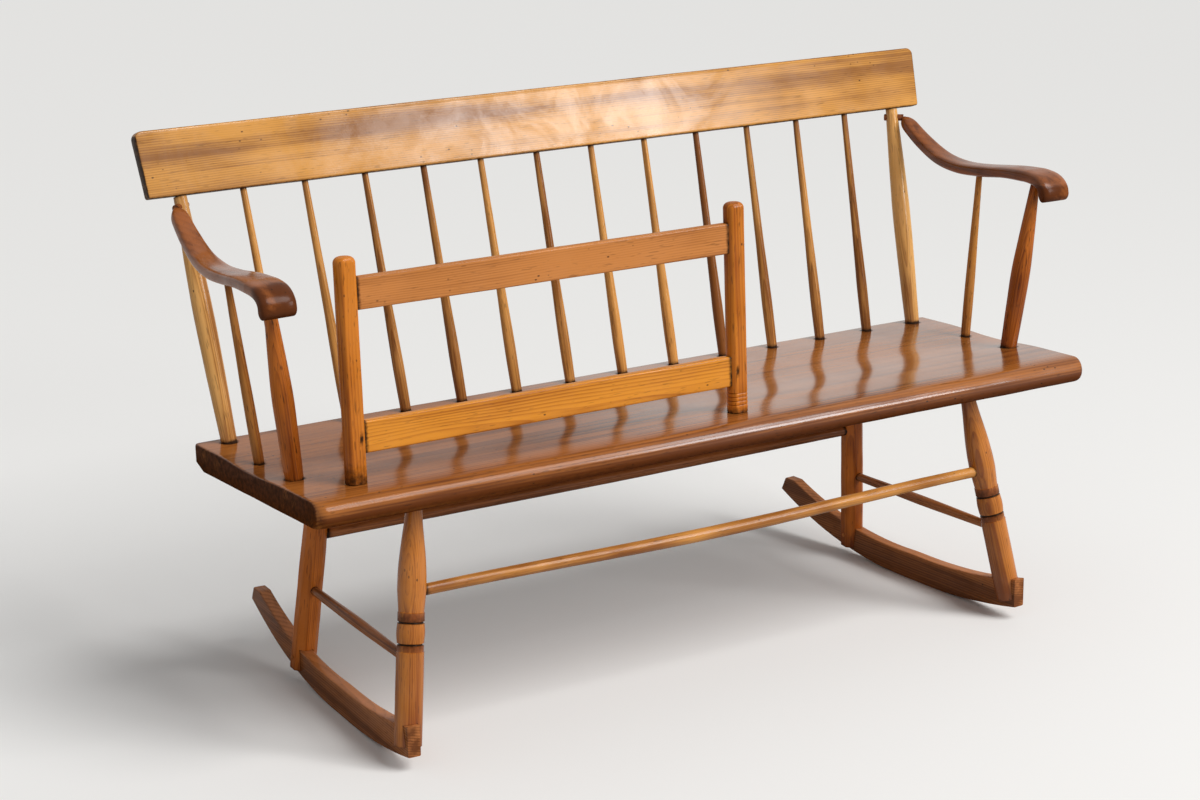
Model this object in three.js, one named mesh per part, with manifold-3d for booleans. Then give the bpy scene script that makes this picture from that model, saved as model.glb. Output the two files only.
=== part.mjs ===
// A plank-seated rocking bench with scroll arms, a stick back and a lift-out infant guard.
// Millimetres. X runs along the bench, Y from its front to its back, Z up from the floor.
// A "setback" is a distance behind the front edge of the seat. Left is -X, right is +X.
import * as THREE from "three";
import { mergeVertices } from "three/addons/utils/BufferGeometryUtils.js";
import Module from "manifold-3d";

const wasm = await Module();
wasm.setup();

// Fits
const fitGap = 0.3; // clearance all round a tenon, a pin or a housed end
const cutOverrun = 12; // how far a cutter runs out past the face that it enters
const weldDistance = 0.001;

// Seat plank
const seatLength = 1352;
const seatDepth = 419;
const seatThickness = 39;
const seatFrontHeight = 414; // top face above the floor at the front edge
const seatTiltDegrees = 2.3; // the back edge lies lower
const seatDishDepth = 4;
const seatDishFront = 95; // from the long edges of the seat to the ends of the dish
const seatDishRear = 74;
const seatUndercutRun = 26; // bevel under the back edge
const seatUndercutRise = 11;
const seatRearRound = 5;
const seatFrontCorner = 16; // corner radii in plan
const seatRearCorner = 8;
const seatSocketDepth = 24;

// Back: two turned posts and slim spindles under a broad crest rail
const spindleCount = 12;
const backInset = 30; // of the row of sticks from the back edge of the seat
const backRise = 353; // upright height from the seat to the crest rail
const backLeanDegrees = 14.5;
const backPostInset = 44; // from the end of the seat to the foot of the post
const backPostSplayDegrees = 2.9;
const backPostFootRadius = 12;
const backPostSwellRadius = 14.6;
const backPostHeadRadius = 9.8;
const backPostTenonRadius = 7; // in the crest rail
const backPostShoulderDrop = 1; // of the shoulder of the tenon below the crest rail
const spindleFootRadius = 8.2;
const spindleSwellRadius = 8.7;
const spindleHeadRadius = 4.9;
const crestHeight = 99;
const crestThickness = 19;
const crestLeanDegrees = 17;
const crestOverhang = 51; // past the axis of the post, along the lower edge
const crestFlare = 6; // how much farther each end reaches at the top
const crestCorner = 11;
const crestEase = 2.5; // rounding of the long edges
const crestSocketDepth = 26;

// Arms
const armBendSetback = 142; // where the arm starts to curl down into its scroll
const armBendRise = 273.4; // of its middle line there, above the seat's front edge
const armBendOut = 3; // of its middle line there, past the end of the seat
const armBendThickness = 21;
const armScrollReach = 46.5; // from there forward to the middle of the scroll's lower end
const armScrollDrop = 23.4; // from there down to the same point
const armScrollWidth = 54;
const armScrollThickness = 24;
const armScrollRim = 4; // rounding of the two sides of the lower end
const armThickness = 19;
const armTipWidth = 24;
const armClimb = 62; // from the lowest part of the arm up to its tip at the post
const armTipOut = 15; // tip of the arm outside and in front of the axis of the post
const armTipForward = 12;
const armTenonRadius = 5.6;
const armTenonProud = 4; // past the radius of the head of the back post
const armSocketDepth = 11;
const armPostSetback = 149;
const armPostInset = 35;
const armPostHeadSetback = 135;
const armPostHeadIn = 4; // inside the middle line of the arm
const armPostFootRadius = 13.2;
const armPostSwellRadius = 14.8;
const armPostHeadRadius = 7;
const armSpindleSetback = 261;
const armSpindleInset = 33;
const armSpindleHeadSetback = 272;
const armSpindleFootRadius = 7.8;
const armSpindleSwellRadius = 8.1;
const armSpindleHeadRadius = 5;

// Legs: where each axis meets the underside of the seat, and where it ends beside the rocker
const frontLegTopSetback = 77;
const frontLegTopInset = 182;
const frontLegFootSetback = 17;
const frontLegFootRise = 13.6; // of the end of the leg above the underside of the rocker
const rearLegTopReach = 46; // in from the back edge of the seat
const rearLegTopInset = 184;
const rearLegFootReach = 14; // in from the back edge of the seat
const rearLegFootRise = 5;
const frontLegRadius = 20; // the plain cylinder at the foot
const frontLegVaseRadius = 20.8;
const frontLegNeckRadius = 11.8;
const frontLegGrooveDepth = 2.2;
const frontLegGrooveHalfWidth = 1.6;
const frontLegLowerGroove = 144; // heights along the leg from its foot
const frontLegUpperGroove = 175;
const frontLegBandHeight = 10;
const frontLegCollarHeight = 14;
const frontLegBandStep = 0.8;
const frontLegVaseHeight = 220;
const rearLegFootRadius = 20;
const rearLegMiddleRadius = 19.6;
const rearLegHeadRadius = 14;

// Rockers
const rockerInset = 143; // from the end of the seat to the middle of the plank, where it bears
const rockerToeDegrees = 3.4; // the two rockers draw together towards the back
const rockerThickness = 20;
const rockerDepth = 46;
const rockerTailDepth = 35;
const rockerTailCut = 26; // length of the end cut, below the corner that is taken off level
const rockerFrontSetback = -5;
const rockerTailReach = 167; // past the back edge of the seat
const rockerTouchShare = 0.568; // middle of the flat on the floor, as a share of the seat's depth
const rockerFlat = 60;
const rockerFrontRadius = 1000;
const rockerRearRadius = 735;
const rockerEase = 1.5;
const rockerStationStep = 26;
const pinRadius = 3.4;
const pinDrop = 15; // of the pin below the shoulder of the leg

// Stretchers
const sideStretcherHeight = 148;
const sideStretcherEndRadius = 6.8;
const sideStretcherRadius = 8.4;
const frontStretcherDrop = 171; // below the seat's front edge
const rearStretcherDrop = 182;
const longStretcherEndRadius = 8.6;
const longStretcherRadius = 10;
const frontStretcherSag = 7;

// Guard: two posts with pegs in the seat, joined by two rails
const guardSetback = 70;
const guardLeftInset = 91; // from the left end of the seat to the axis of the left post
const guardWidth = 635; // between the axes of the two posts
const guardPostHeight = 316;
const guardPostRadius = 15.5;
const guardPostFlat = 12.6; // from the axis to the planed faces
const guardPostDome = 9;
const guardPegRadius = 8;
const guardPegLength = 24;
const guardRailHeight = 46;
const guardRailThickness = 15;
const guardRailRound = 3;
const guardLowerRailBase = 41; // undersides of the rails above the seat
const guardUpperRailBase = 241;
const guardRailHousing = 4; // how far the full section of a rail goes into its post
const guardTenonLength = 14;
const guardTenonThickness = 9;
const guardTenonShoulder = 6;
const guardPinRadius = 2.4;

// Shares of a length at which a shape changes, or of the way between two sizes
const backPostSwellShares = [0.35, 0.6];
const spindleSwellShare = 0.2;
const armPostSwellShares = [0.27, 0.52];
const armSpindleSwellShare = 0.3;
const armSpindleMeanShare = 0.65;
const armTipRoundShare = 0.06; // of the arm's reach, over which its tip is rounded
const armTipClosedShare = 0.9;
const armSquareShare = 0.55; // 1 would give an oval section and 0 a rectangle
const rearLegMiddleShare = 0.55;
const rearLegMeanShare = 0.8;
const beadShares = [-0.8, -0.4, 0, 0.4, 0.8];
const vaseShares = [[0.17, 0.04], [0.34, 0.2], [0.52, 0.47], [0.7, 0.76], [0.86, 0.95], [1, 1]];
const stretcherMeanShares = [0.25, 0.75];
const domeShares = [0.3, 0.6, 0.85, 1];
const domeFallShare = 0.75;
// Middle line of a scroll, from its lower end back to the bend: shares of its reach and of its drop
const armScrollShares = [[1, 1], [0.957, 0.66], [0.81, 0.34], [0.56, 0.12], [0.26, 0.03], [0, 0]];
const armEndShares = [0.88, 0.66, 0.44, 0.22]; // of a quarter turn, at which the lower end is rounded
const armThickShare = 0.2; // of the reach from the bend to the tip, over which the arm thins
// Middle line of an arm: shares of its reach from the bend to its tip, and of its climb
const armLineShares = [[0, 0.2], [0.16, 0.16], [0.36, 0.04], [0.53, 0], [0.69, 0.13], [0.85, 0.5], [1, 1]];
// Width of an arm at shares of its reach, as shares of the way from the tip's width to the scroll's
const armWidthShares = [[0, 1], [0.12, 0.9], [0.3, 0.72], [0.6, 0.5], [0.85, 0.22], [1, 0]];

// Counts of facets
const spindleSides = 10;
const postSides = 14;
const legSides = 18;
const shavedSides = 8;
const pegSides = 12;
const pinSides = 8;
const ovalPoints = 16;
const armSteps = 16;
const scrollSteps = 8;
const roundingSteps = 3;
const noseSteps = 8;
const dishSteps = 10;
const stickSteps = 7;
const rearLegSteps = 6;
const longStretcherParts = 12;

// Places that follow from the sizes
const backSetback = seatDepth - backInset;
const seatDishLength = seatDepth - seatDishFront - seatDishRear;
const rockerX = seatLength / 2 - rockerInset;
const rockerTailSetback = seatDepth + rockerTailReach;
const rockerTouchSetback = seatDepth * rockerTouchShare;
const guardLeftX = guardLeftInset - seatLength / 2;
const guardRightX = guardLeftX + guardWidth;

const up = new THREE.Vector3(0, 0, 1);
const across = new THREE.Vector3(1, 0, 0);
const rearward = new THREE.Vector3(0, 1, 0);
const unit = new THREE.Vector3(1, 1, 1);
const ends = { left: -1, right: 1 };
const bench = new THREE.Group();

// Solids

// The closed solid that a geometry bounds.
function asSolid(geometry) {
  const bare = new THREE.BufferGeometry();
  bare.setAttribute("position", geometry.getAttribute("position"));
  bare.setIndex(geometry.index);
  const welded = mergeVertices(bare, weldDistance);
  const corners = welded.index.array;
  const kept = [];
  for (let i = 0; i < corners.length; i += 3) {
    const [a, b, c] = corners.slice(i, i + 3);
    if (a !== b && b !== c && c !== a) kept.push(a, b, c);
  }
  const vertProperties = welded.getAttribute("position").array;
  const triVerts = new Uint32Array(kept);
  return new wasm.Manifold(new wasm.Mesh({ numProp: 3, vertProperties, triVerts }));
}

function asGeometry(solid) {
  const { vertProperties, triVerts } = solid.getMesh();
  const geometry = new THREE.BufferGeometry();
  geometry.setAttribute("position", new THREE.BufferAttribute(vertProperties, 3));
  geometry.setIndex(new THREE.BufferAttribute(triVerts, 1));
  geometry.computeVertexNormals();
  return geometry;
}

// Cuts a geometry that stands in the given frame; the cutters are in the bench's own frame.
function worked(geometry, frame, cutters) {
  const inward = frame.clone().invert();
  let solid = asSolid(geometry);
  for (const cutter of cutters) solid = solid.subtract(asSolid(cutter.clone().applyMatrix4(inward)));
  return asGeometry(solid);
}

function commonPart(first, second) {
  return asGeometry(asSolid(first).intersect(asSolid(second)));
}

// Shapes

// A solid turned about Z from a list of [height, radius], which it closes on the axis.
function turned(outline, sides) {
  const [bottom, top] = [outline[0][0], outline.at(-1)[0]];
  const profile = [[bottom, 0], ...outline, [top, 0]];
  const points = profile.map(([height, radius]) => new THREE.Vector2(radius, height));
  return new THREE.LatheGeometry(points, sides).rotateX(Math.PI / 2);
}

// A closed skin over rings that all have the same number of points.
function loft(rings) {
  const sides = rings[0].length;
  const last = (rings.length - 1) * sides;
  const index = [];
  for (let ring = 0; ring < last; ring += sides)
    for (let side = 0; side < sides; side++) {
      const here = ring + side;
      const next = ring + ((side + 1) % sides);
      index.push(here, next + sides, next, here, here + sides, next + sides);
    }
  for (let side = 1; side + 1 < sides; side++) {
    index.push(0, side, side + 1);
    index.push(last, last + side + 1, last + side);
  }
  return new THREE.BufferGeometry().setFromPoints(rings.flat()).setIndex(index);
}

// An outline drawn as (setback, height) and made as thick as given, centred across the bench.
function plankAcross(shape, thickness, ease = 0, curveSegments = roundingSteps) {
  const bevel = { bevelThickness: ease, bevelSize: ease, bevelOffset: -ease, bevelSegments: 1 };
  const depth = thickness - 2 * ease;
  const options = { depth, bevelEnabled: ease > 0, curveSegments, ...bevel };
  const geometry = new THREE.ExtrudeGeometry(shape, options).translate(0, 0, -depth / 2);
  return geometry.applyMatrix4(new THREE.Matrix4().makeBasis(rearward, up, across));
}

// An outline drawn as (x, height) and made as thick as given, centred from front to back.
function plankUpright(shape, thickness, ease = 0) {
  const bevel = { bevelThickness: ease, bevelSize: ease, bevelOffset: -ease, bevelSegments: 2 };
  const depth = thickness - 2 * ease;
  const options = { depth, bevelEnabled: ease > 0, curveSegments: roundingSteps, ...bevel };
  const geometry = new THREE.ExtrudeGeometry(shape, options).translate(0, 0, -depth / 2);
  return geometry.rotateX(Math.PI / 2);
}

function roundedRectangle(width, height, radius) {
  const [x, y] = [width / 2, height / 2];
  const shape = new THREE.Shape();
  shape.absarc(x - radius, y - radius, radius, 0, Math.PI / 2);
  shape.absarc(-x + radius, y - radius, radius, Math.PI / 2, Math.PI);
  shape.absarc(-x + radius, -y + radius, radius, Math.PI, 1.5 * Math.PI);
  shape.absarc(x - radius, -y + radius, radius, 1.5 * Math.PI, 2 * Math.PI);
  shape.closePath();
  return shape;
}

// Evenly spaced points on a smooth curve through [share, value] pairs.
function smooth(pairs, steps) {
  const curve = new THREE.SplineCurve(pairs.map(([share, value]) => new THREE.Vector2(share, value)));
  return curve.getPoints(steps).map((point) => [point.x, point.y]);
}

// Sticks: turned pieces between two points, with a straight end in a socket at one or both ends

function stickFrame(foot, head) {
  const direction = head.clone().sub(foot).normalize();
  const turn = new THREE.Quaternion().setFromUnitVectors(up, direction);
  return new THREE.Matrix4().compose(foot, turn, unit);
}

// The body between the sockets follows [share of its length, radius] pairs.
function stick(foot, head, footSocket, headSocket, radii, sides, steps = stickSteps) {
  const direction = head.clone().sub(foot).normalize();
  const start = foot.clone().addScaledVector(direction, -footSocket);
  const bodyLength = foot.distanceTo(head);
  const body = smooth(radii, steps).map(([share, radius]) => [footSocket + share * bodyLength, radius]);
  const length = footSocket + bodyLength + headSocket;
  const footRadius = radii[0][1];
  const headRadius = radii.at(-1)[1];
  const outline = [...body];
  if (footSocket > 0) outline.unshift([0, footRadius]);
  if (headSocket > 0) outline.push([length, headRadius]);
  return { frame: stickFrame(start, head), length, outline, sides, footSocket, headSocket };
}

function footSocketOf(made) {
  const radius = made.outline[0][1] + fitGap;
  const reach = made.footSocket + cutOverrun;
  return turned([[-fitGap, radius], [reach, radius]], made.sides).applyMatrix4(made.frame);
}

function headSocketOf(made) {
  const radius = made.outline.at(-1)[1] + fitGap;
  const reach = made.length - made.headSocket - cutOverrun;
  const outline = [[reach, radius], [made.length + fitGap, radius]];
  return turned(outline, made.sides).applyMatrix4(made.frame);
}

// A straight round cutter or pin between two points.
function rod(from, to, radius, sides) {
  return turned([[0, radius], [from.distanceTo(to), radius]], sides).applyMatrix4(stickFrame(from, to));
}

function pointOn(made, distance) {
  return new THREE.Vector3(0, 0, distance).applyMatrix4(made.frame);
}

// Where the axis of a stick passes a height.
function pointAtHeight(made, height) {
  const [low, high] = [pointOn(made, 0), pointOn(made, made.length)];
  return low.clone().lerp(high, (height - low.z) / (high.z - low.z));
}

function addPiece(group, name, geometry, frame, colour, roughness) {
  const material = new THREE.MeshStandardMaterial({ color: colour, roughness, metalness: 0 });
  const mesh = new THREE.Mesh(geometry, material);
  mesh.name = name;
  frame.decompose(mesh.position, mesh.quaternion, mesh.scale);
  group.add(mesh);
}

// Seat

const seatFrame = new THREE.Matrix4()
  .makeTranslation(0, 0, seatFrontHeight)
  .multiply(new THREE.Matrix4().makeRotationX(-THREE.MathUtils.degToRad(seatTiltDegrees)));

function seatSurface(setback) {
  const share = THREE.MathUtils.clamp((setback - seatDishFront) / seatDishLength, 0, 1);
  return -seatDishDepth * Math.sin(Math.PI * share) ** 2;
}

function onSeat(x, setback) {
  return new THREE.Vector3(x, setback, seatSurface(setback)).applyMatrix4(seatFrame);
}

function underSeat(x, setback) {
  return new THREE.Vector3(x, setback, -seatThickness).applyMatrix4(seatFrame);
}

function seatProfile() {
  const nose = seatThickness / 2;
  const back = seatDepth - seatRearRound;
  const shape = new THREE.Shape();
  shape.moveTo(nose, -seatThickness);
  shape.lineTo(seatDepth - seatUndercutRun, -seatThickness);
  shape.lineTo(seatDepth, seatUndercutRise - seatThickness);
  shape.lineTo(seatDepth, -seatRearRound);
  shape.absarc(back, -seatRearRound, seatRearRound, 0, Math.PI / 2);
  for (let step = dishSteps; step >= 0; step--) {
    const setback = seatDishFront + (step / dishSteps) * seatDishLength;
    shape.lineTo(setback, seatSurface(setback));
  }
  shape.absarc(nose, -nose, nose, Math.PI / 2, 1.5 * Math.PI);
  return shape;
}

// The plan of the seat, with the front at -Y.
function seatPlan() {
  const [half, front, back] = [seatLength / 2, seatFrontCorner, seatRearCorner];
  const shape = new THREE.Shape();
  shape.absarc(-half + front, front, front, Math.PI, 1.5 * Math.PI);
  shape.absarc(half - front, front, front, 1.5 * Math.PI, 2 * Math.PI);
  shape.absarc(half - back, seatDepth - back, back, 0, Math.PI / 2);
  shape.absarc(-half + back, seatDepth - back, back, Math.PI / 2, Math.PI);
  shape.closePath();
  return shape;
}

function seatBlank() {
  const tall = seatThickness + 2 * cutOverrun;
  const options = { depth: tall, bevelEnabled: false, curveSegments: roundingSteps };
  const plan = new THREE.ExtrudeGeometry(seatPlan(), options);
  plan.translate(0, 0, -seatThickness - cutOverrun);
  return commonPart(plankAcross(seatProfile(), seatLength, 0, noseSteps), plan);
}

// Back

const backPostFootX = seatLength / 2 - backPostInset;
const backPostHeadX = backPostFootX + backRise * Math.tan(THREE.MathUtils.degToRad(backPostSplayDegrees));

// A stick of the back, at a share of the way from the middle of the bench to a post.
function backStick(share, radii, sides) {
  const foot = onSeat(share * backPostFootX, backSetback);
  const head = foot.clone();
  head.x = share * backPostHeadX;
  head.y += backRise * Math.tan(THREE.MathUtils.degToRad(backLeanDegrees));
  head.z += backRise;
  return stick(foot, head, seatSocketDepth, crestSocketDepth, radii, sides);
}

const backPostRadii = [
  [0, backPostFootRadius],
  [backPostSwellShares[0], backPostSwellRadius],
  [backPostSwellShares[1], backPostSwellRadius],
  [1, backPostHeadRadius],
];
const spindleRadii = [
  [0, spindleFootRadius],
  [spindleSwellShare, spindleSwellRadius],
  [1 / 2, (spindleSwellRadius + spindleHeadRadius) / 2],
  [1, spindleHeadRadius],
];

// A back post, which narrows to a tenon just below the crest rail.
function backPost(side) {
  const post = backStick(side, backPostRadii, postSides);
  const shoulder = post.length - crestSocketDepth - backPostShoulderDrop;
  const tenon = [[shoulder, backPostTenonRadius], [post.length, backPostTenonRadius]];
  post.outline = [...post.outline.slice(0, -2), [shoulder, backPostHeadRadius], ...tenon];
  return post;
}

function spindle(number) {
  const share = (2 * number) / (spindleCount + 1) - 1;
  return backStick(share, spindleRadii, spindleSides);
}

// The crest rail stands on the heads of the posts, its lower edge along local X.
function crestFrame() {
  const post = backPost(ends.right);
  const head = pointOn(post, post.length - crestSocketDepth);
  const lean = new THREE.Matrix4().makeRotationX(-THREE.MathUtils.degToRad(crestLeanDegrees));
  return new THREE.Matrix4().makeTranslation(0, head.y, head.z).multiply(lean);
}

function crestBlank() {
  const low = backPostHeadX + crestOverhang;
  const high = low + crestFlare;
  const shape = new THREE.Shape();
  shape.moveTo(-low, 0);
  shape.lineTo(low, 0);
  shape.lineTo(high, crestHeight - crestCorner);
  shape.quadraticCurveTo(high, crestHeight, high - crestCorner, crestHeight);
  shape.lineTo(-high + crestCorner, crestHeight);
  shape.quadraticCurveTo(-high, crestHeight, -high, crestHeight - crestCorner);
  shape.closePath();
  return plankUpright(shape, crestThickness, crestEase);
}

// Arms

function valueAt(pairs, share) {
  const last = pairs.length - 1;
  const from = Math.min(last - 1, pairs.findLastIndex(([at]) => at <= share));
  const [[low, first], [high, second]] = [pairs[from], pairs[from + 1]];
  return first + ((second - first) * (share - low)) / (high - low);
}

// Where an arm starts to curl down.
function armBend(side) {
  const x = side * (seatLength / 2 + armBendOut);
  return new THREE.Vector3(x, armBendSetback, seatFrontHeight + armBendRise);
}

// The tip of an arm beside its post: outside the post and in front of it.
function armTip(side) {
  const height = armBend(side).z + armClimb * (1 - armLineShares[0][1]);
  const tip = pointAtHeight(backPost(side), height);
  tip.x += side * armTipOut;
  tip.y -= armTipForward;
  return tip;
}

// The middle line of an arm behind its bend, at a share of the way to its tip.
function armMiddle(side, share, climb) {
  const [bend, tip] = [armBend(side), armTip(side)];
  const middle = bend.clone().lerp(tip, share);
  middle.z = tip.z - armClimb * (1 - climb);
  return middle;
}

// An oval with square-ish corners, which gives a sawn and rounded-over edge.
function ovalRing({ centre, wide, tall }, normal) {
  const soften = (value) => Math.sign(value) * Math.abs(value) ** armSquareShare;
  return Array.from({ length: ovalPoints }, (_, point) => {
    const angle = (2 * Math.PI * point) / ovalPoints;
    const sideways = (soften(Math.cos(angle)) * wide) / 2;
    const upwards = (soften(Math.sin(angle)) * tall) / 2;
    return centre.clone().addScaledVector(across, sideways).addScaledVector(normal, upwards);
  });
}

// The rounded lower end of a scroll, from below, and then its curl up to the bend.
function scrollStations(side) {
  const bend = armBend(side);
  const curl = smooth(armScrollShares, scrollSteps).slice(0, -1).map(([reach, drop]) => ({
    centre: bend.clone().add(new THREE.Vector3(0, -reach * armScrollReach, -drop * armScrollDrop)),
    wide: armScrollWidth,
    tall: THREE.MathUtils.lerp(armBendThickness, armScrollThickness, drop),
  }));
  const round = armEndShares.map((share) => {
    const turn = (share * Math.PI) / 2;
    const centre = curl[0].centre.clone();
    centre.z -= (armScrollThickness / 2) * Math.sin(turn);
    const wide = armScrollWidth - 2 * armScrollRim * (1 - Math.cos(turn));
    return { centre, wide, tall: armScrollThickness * Math.cos(turn) };
  });
  return [...round, ...curl];
}

// From the bend back to the tip, whose end is rounded.
function armStations(side) {
  return smooth(armLineShares, armSteps).map(([along, climb]) => {
    const share = Math.min(1, along);
    const rounding = (share - 1 + armTipRoundShare) / armTipRoundShare;
    const close = Math.sqrt(1 - THREE.MathUtils.clamp(rounding, 0, armTipClosedShare) ** 2);
    const thinned = Math.min(1, share / armThickShare);
    return {
      centre: armMiddle(side, share, climb),
      wide: THREE.MathUtils.lerp(armTipWidth, armScrollWidth, valueAt(armWidthShares, share)) * close,
      tall: THREE.MathUtils.lerp(armBendThickness, armThickness, thinned) * close,
    };
  });
}

function armBoard(side) {
  const stations = [...scrollStations(side), ...armStations(side)];
  return loft(
    stations.map((station, step) => {
      const before = stations[Math.max(0, step - 1)].centre;
      const after = stations[Math.min(stations.length - 1, step + 1)].centre;
      const normal = across.clone().cross(after.clone().sub(before).setX(0)).normalize();
      return ovalRing(station, normal);
    }),
  );
}

// The round tenon at the tip of an arm, which goes right through the back post.
function armTenon(side, grow = 0) {
  const post = backPost(side);
  const from = armTip(side);
  const axis = pointAtHeight(post, from.z);
  const direction = axis.clone().sub(from).normalize();
  const to = axis.clone().addScaledVector(direction, backPostHeadRadius + armTenonProud);
  const end = grow > 0 ? to.clone().addScaledVector(direction, cutOverrun) : to;
  return rod(from, end, armTenonRadius + grow, pinSides);
}

function armPost(side) {
  const foot = onSeat(side * (seatLength / 2 - armPostInset), armPostSetback);
  const head = armBend(side);
  head.x -= side * armPostHeadIn;
  head.y = armPostHeadSetback;
  head.z -= armBendThickness / 2;
  const radii = [
    [0, armPostFootRadius],
    [armPostSwellShares[0], armPostSwellRadius],
    [armPostSwellShares[1], armPostSwellRadius],
    [1, armPostHeadRadius],
  ];
  return stick(foot, head, seatSocketDepth, armSocketDepth, radii, postSides);
}

function armSpindle(side) {
  const foot = onSeat(side * (seatLength / 2 - armSpindleInset), armSpindleSetback);
  const reach = armTip(side).y - armBendSetback;
  const share = (armSpindleHeadSetback - armBendSetback) / reach;
  const head = armMiddle(side, share, valueAt(armLineShares, share));
  head.z -= armThickness / 2;
  const radii = [
    [0, armSpindleFootRadius],
    [armSpindleSwellShare, armSpindleSwellRadius],
    [armSpindleMeanShare, (armSpindleSwellRadius + armSpindleHeadRadius) / 2],
    [1, armSpindleHeadRadius],
  ];
  return stick(foot, head, seatSocketDepth, armSocketDepth, radii, spindleSides);
}

// Rockers

function rockerSlope(setback) {
  const away = setback - rockerTouchSetback;
  const past = Math.max(0, Math.abs(away) - rockerFlat / 2);
  const radius = away < 0 ? rockerFrontRadius : rockerRearRadius;
  return { angle: Math.sign(away) * Math.asin(past / radius), radius };
}

function rockerBottom(setback) {
  const { angle, radius } = rockerSlope(setback);
  return radius * (1 - Math.cos(angle));
}

// The point that lies square above the lower edge of the plank.
function squareAbove(setback, depth) {
  const { angle } = rockerSlope(setback);
  const height = rockerBottom(setback) + depth * Math.cos(angle);
  return new THREE.Vector2(setback - depth * Math.sin(angle), height);
}

function rockerTop(setback, grow = 0) {
  const tailLength = rockerTailSetback - rockerTouchSetback;
  const share = THREE.MathUtils.clamp((setback - rockerTouchSetback) / tailLength, 0, 1);
  return squareAbove(setback, THREE.MathUtils.lerp(rockerDepth, rockerTailDepth, share) + grow);
}

// The outline of a rocker, or with grow, of the slot that straddles it and is open below.
function rockerOutline(grow = 0) {
  const flat = [rockerTouchSetback - rockerFlat / 2, rockerTouchSetback + rockerFlat / 2];
  const frontSteps = Math.ceil((flat[0] - rockerFrontSetback) / rockerStationStep);
  const rearSteps = Math.ceil((rockerTailSetback - flat[1]) / rockerStationStep);
  const stations = [];
  for (let step = 0; step <= frontSteps; step++)
    stations.push(THREE.MathUtils.lerp(rockerFrontSetback, flat[0], step / frontSteps));
  for (let step = 0; step <= rearSteps; step++)
    stations.push(THREE.MathUtils.lerp(flat[1], rockerTailSetback, step / rearSteps));
  const below = grow > 0 ? cutOverrun : 0;
  const bottom = stations.map((setback) => new THREE.Vector2(setback, rockerBottom(setback) - below));
  const top = stations.map((setback) => rockerTop(setback, grow)).reverse();
  const tailCut = squareAbove(rockerTailSetback, rockerTailCut);
  const kept = top.findIndex((point) => point.y < tailCut.y);
  const share = (tailCut.y - top[kept].y) / (top[kept - 1].y - top[kept].y);
  top.splice(0, kept, tailCut, top[kept].clone().lerp(top[kept - 1], share));
  const nose = top.at(-1);
  const noseRise = (nose.x - rockerFrontSetback) * Math.tan(-rockerSlope(rockerFrontSetback).angle);
  top.push(new THREE.Vector2(rockerFrontSetback - grow, nose.y + noseRise));
  return new THREE.Shape([...bottom, ...top]);
}

// The frame of a rocker, which is turned about the spot where it bears on the floor.
function rockerFrame(side) {
  const toe = new THREE.Matrix4().makeRotationZ(side * THREE.MathUtils.degToRad(rockerToeDegrees));
  const place = new THREE.Matrix4().makeTranslation(side * rockerX, rockerTouchSetback, 0);
  return place.multiply(toe).multiply(new THREE.Matrix4().makeTranslation(0, -rockerTouchSetback, 0));
}

function rockerSlot(side) {
  return plankAcross(rockerOutline(fitGap), rockerThickness + 2 * fitGap).applyMatrix4(rockerFrame(side));
}

// Legs

const frontLegPlace = {
  topInset: frontLegTopInset,
  topSetback: frontLegTopSetback,
  footSetback: frontLegFootSetback,
  footRise: frontLegFootRise,
};
const rearLegPlace = {
  topInset: rearLegTopInset,
  topSetback: seatDepth - rearLegTopReach,
  footSetback: seatDepth - rearLegFootReach,
  footRise: rearLegFootRise,
};

// A leg whose axis runs from the middle of its rocker up into the seat.
function legAt(side, place, radii, sides, steps) {
  const footHeight = rockerBottom(place.footSetback) + place.footRise;
  const foot = new THREE.Vector3(0, place.footSetback, footHeight).applyMatrix4(rockerFrame(side));
  const head = underSeat(side * (seatLength / 2 - place.topInset), place.topSetback);
  return stick(foot, head, 0, seatSocketDepth, radii, sides, steps);
}

// A turned front leg: a cylinder, two grooves with a bead between, a collar and a long vase.
function frontLeg(side) {
  const plain = [[0, frontLegRadius], [1, frontLegNeckRadius]];
  const leg = legAt(side, frontLegPlace, plain, legSides, 1);
  const neck = leg.length - seatSocketDepth;
  const [low, high] = [frontLegLowerGroove, frontLegUpperGroove];
  const [half, deep] = [frontLegGrooveHalfWidth, frontLegRadius - frontLegGrooveDepth];
  const inner = frontLegRadius - frontLegBandStep;
  const beadHalf = (high - low) / 2 - half;
  const bead = beadShares.map((share) => [
    (low + high) / 2 + share * beadHalf,
    inner + frontLegBandStep * Math.cos((share * Math.PI) / 2),
  ]);
  const vaseLift = neck - frontLegVaseHeight;
  const taper = frontLegVaseRadius - frontLegNeckRadius;
  const vase = vaseShares.map(([rise, loss]) => [
    frontLegVaseHeight + rise * vaseLift,
    frontLegVaseRadius - loss * taper,
  ]);
  leg.outline = [
    [0, frontLegRadius - frontLegBandStep],
    [frontLegBandStep, frontLegRadius],
    [low - frontLegBandHeight - frontLegBandStep, frontLegRadius],
    [low - frontLegBandHeight, inner],
    [low - half, inner],
    [low, deep],
    [low + half, inner],
    ...bead,
    [high - half, inner],
    [high, deep],
    [high + half, inner],
    [high + frontLegCollarHeight, inner],
    [high + frontLegCollarHeight + frontLegBandStep, frontLegRadius - 2 * frontLegBandStep],
    [frontLegVaseHeight, frontLegVaseRadius],
    ...vase,
    [leg.length, frontLegNeckRadius],
  ];
  return leg;
}

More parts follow.
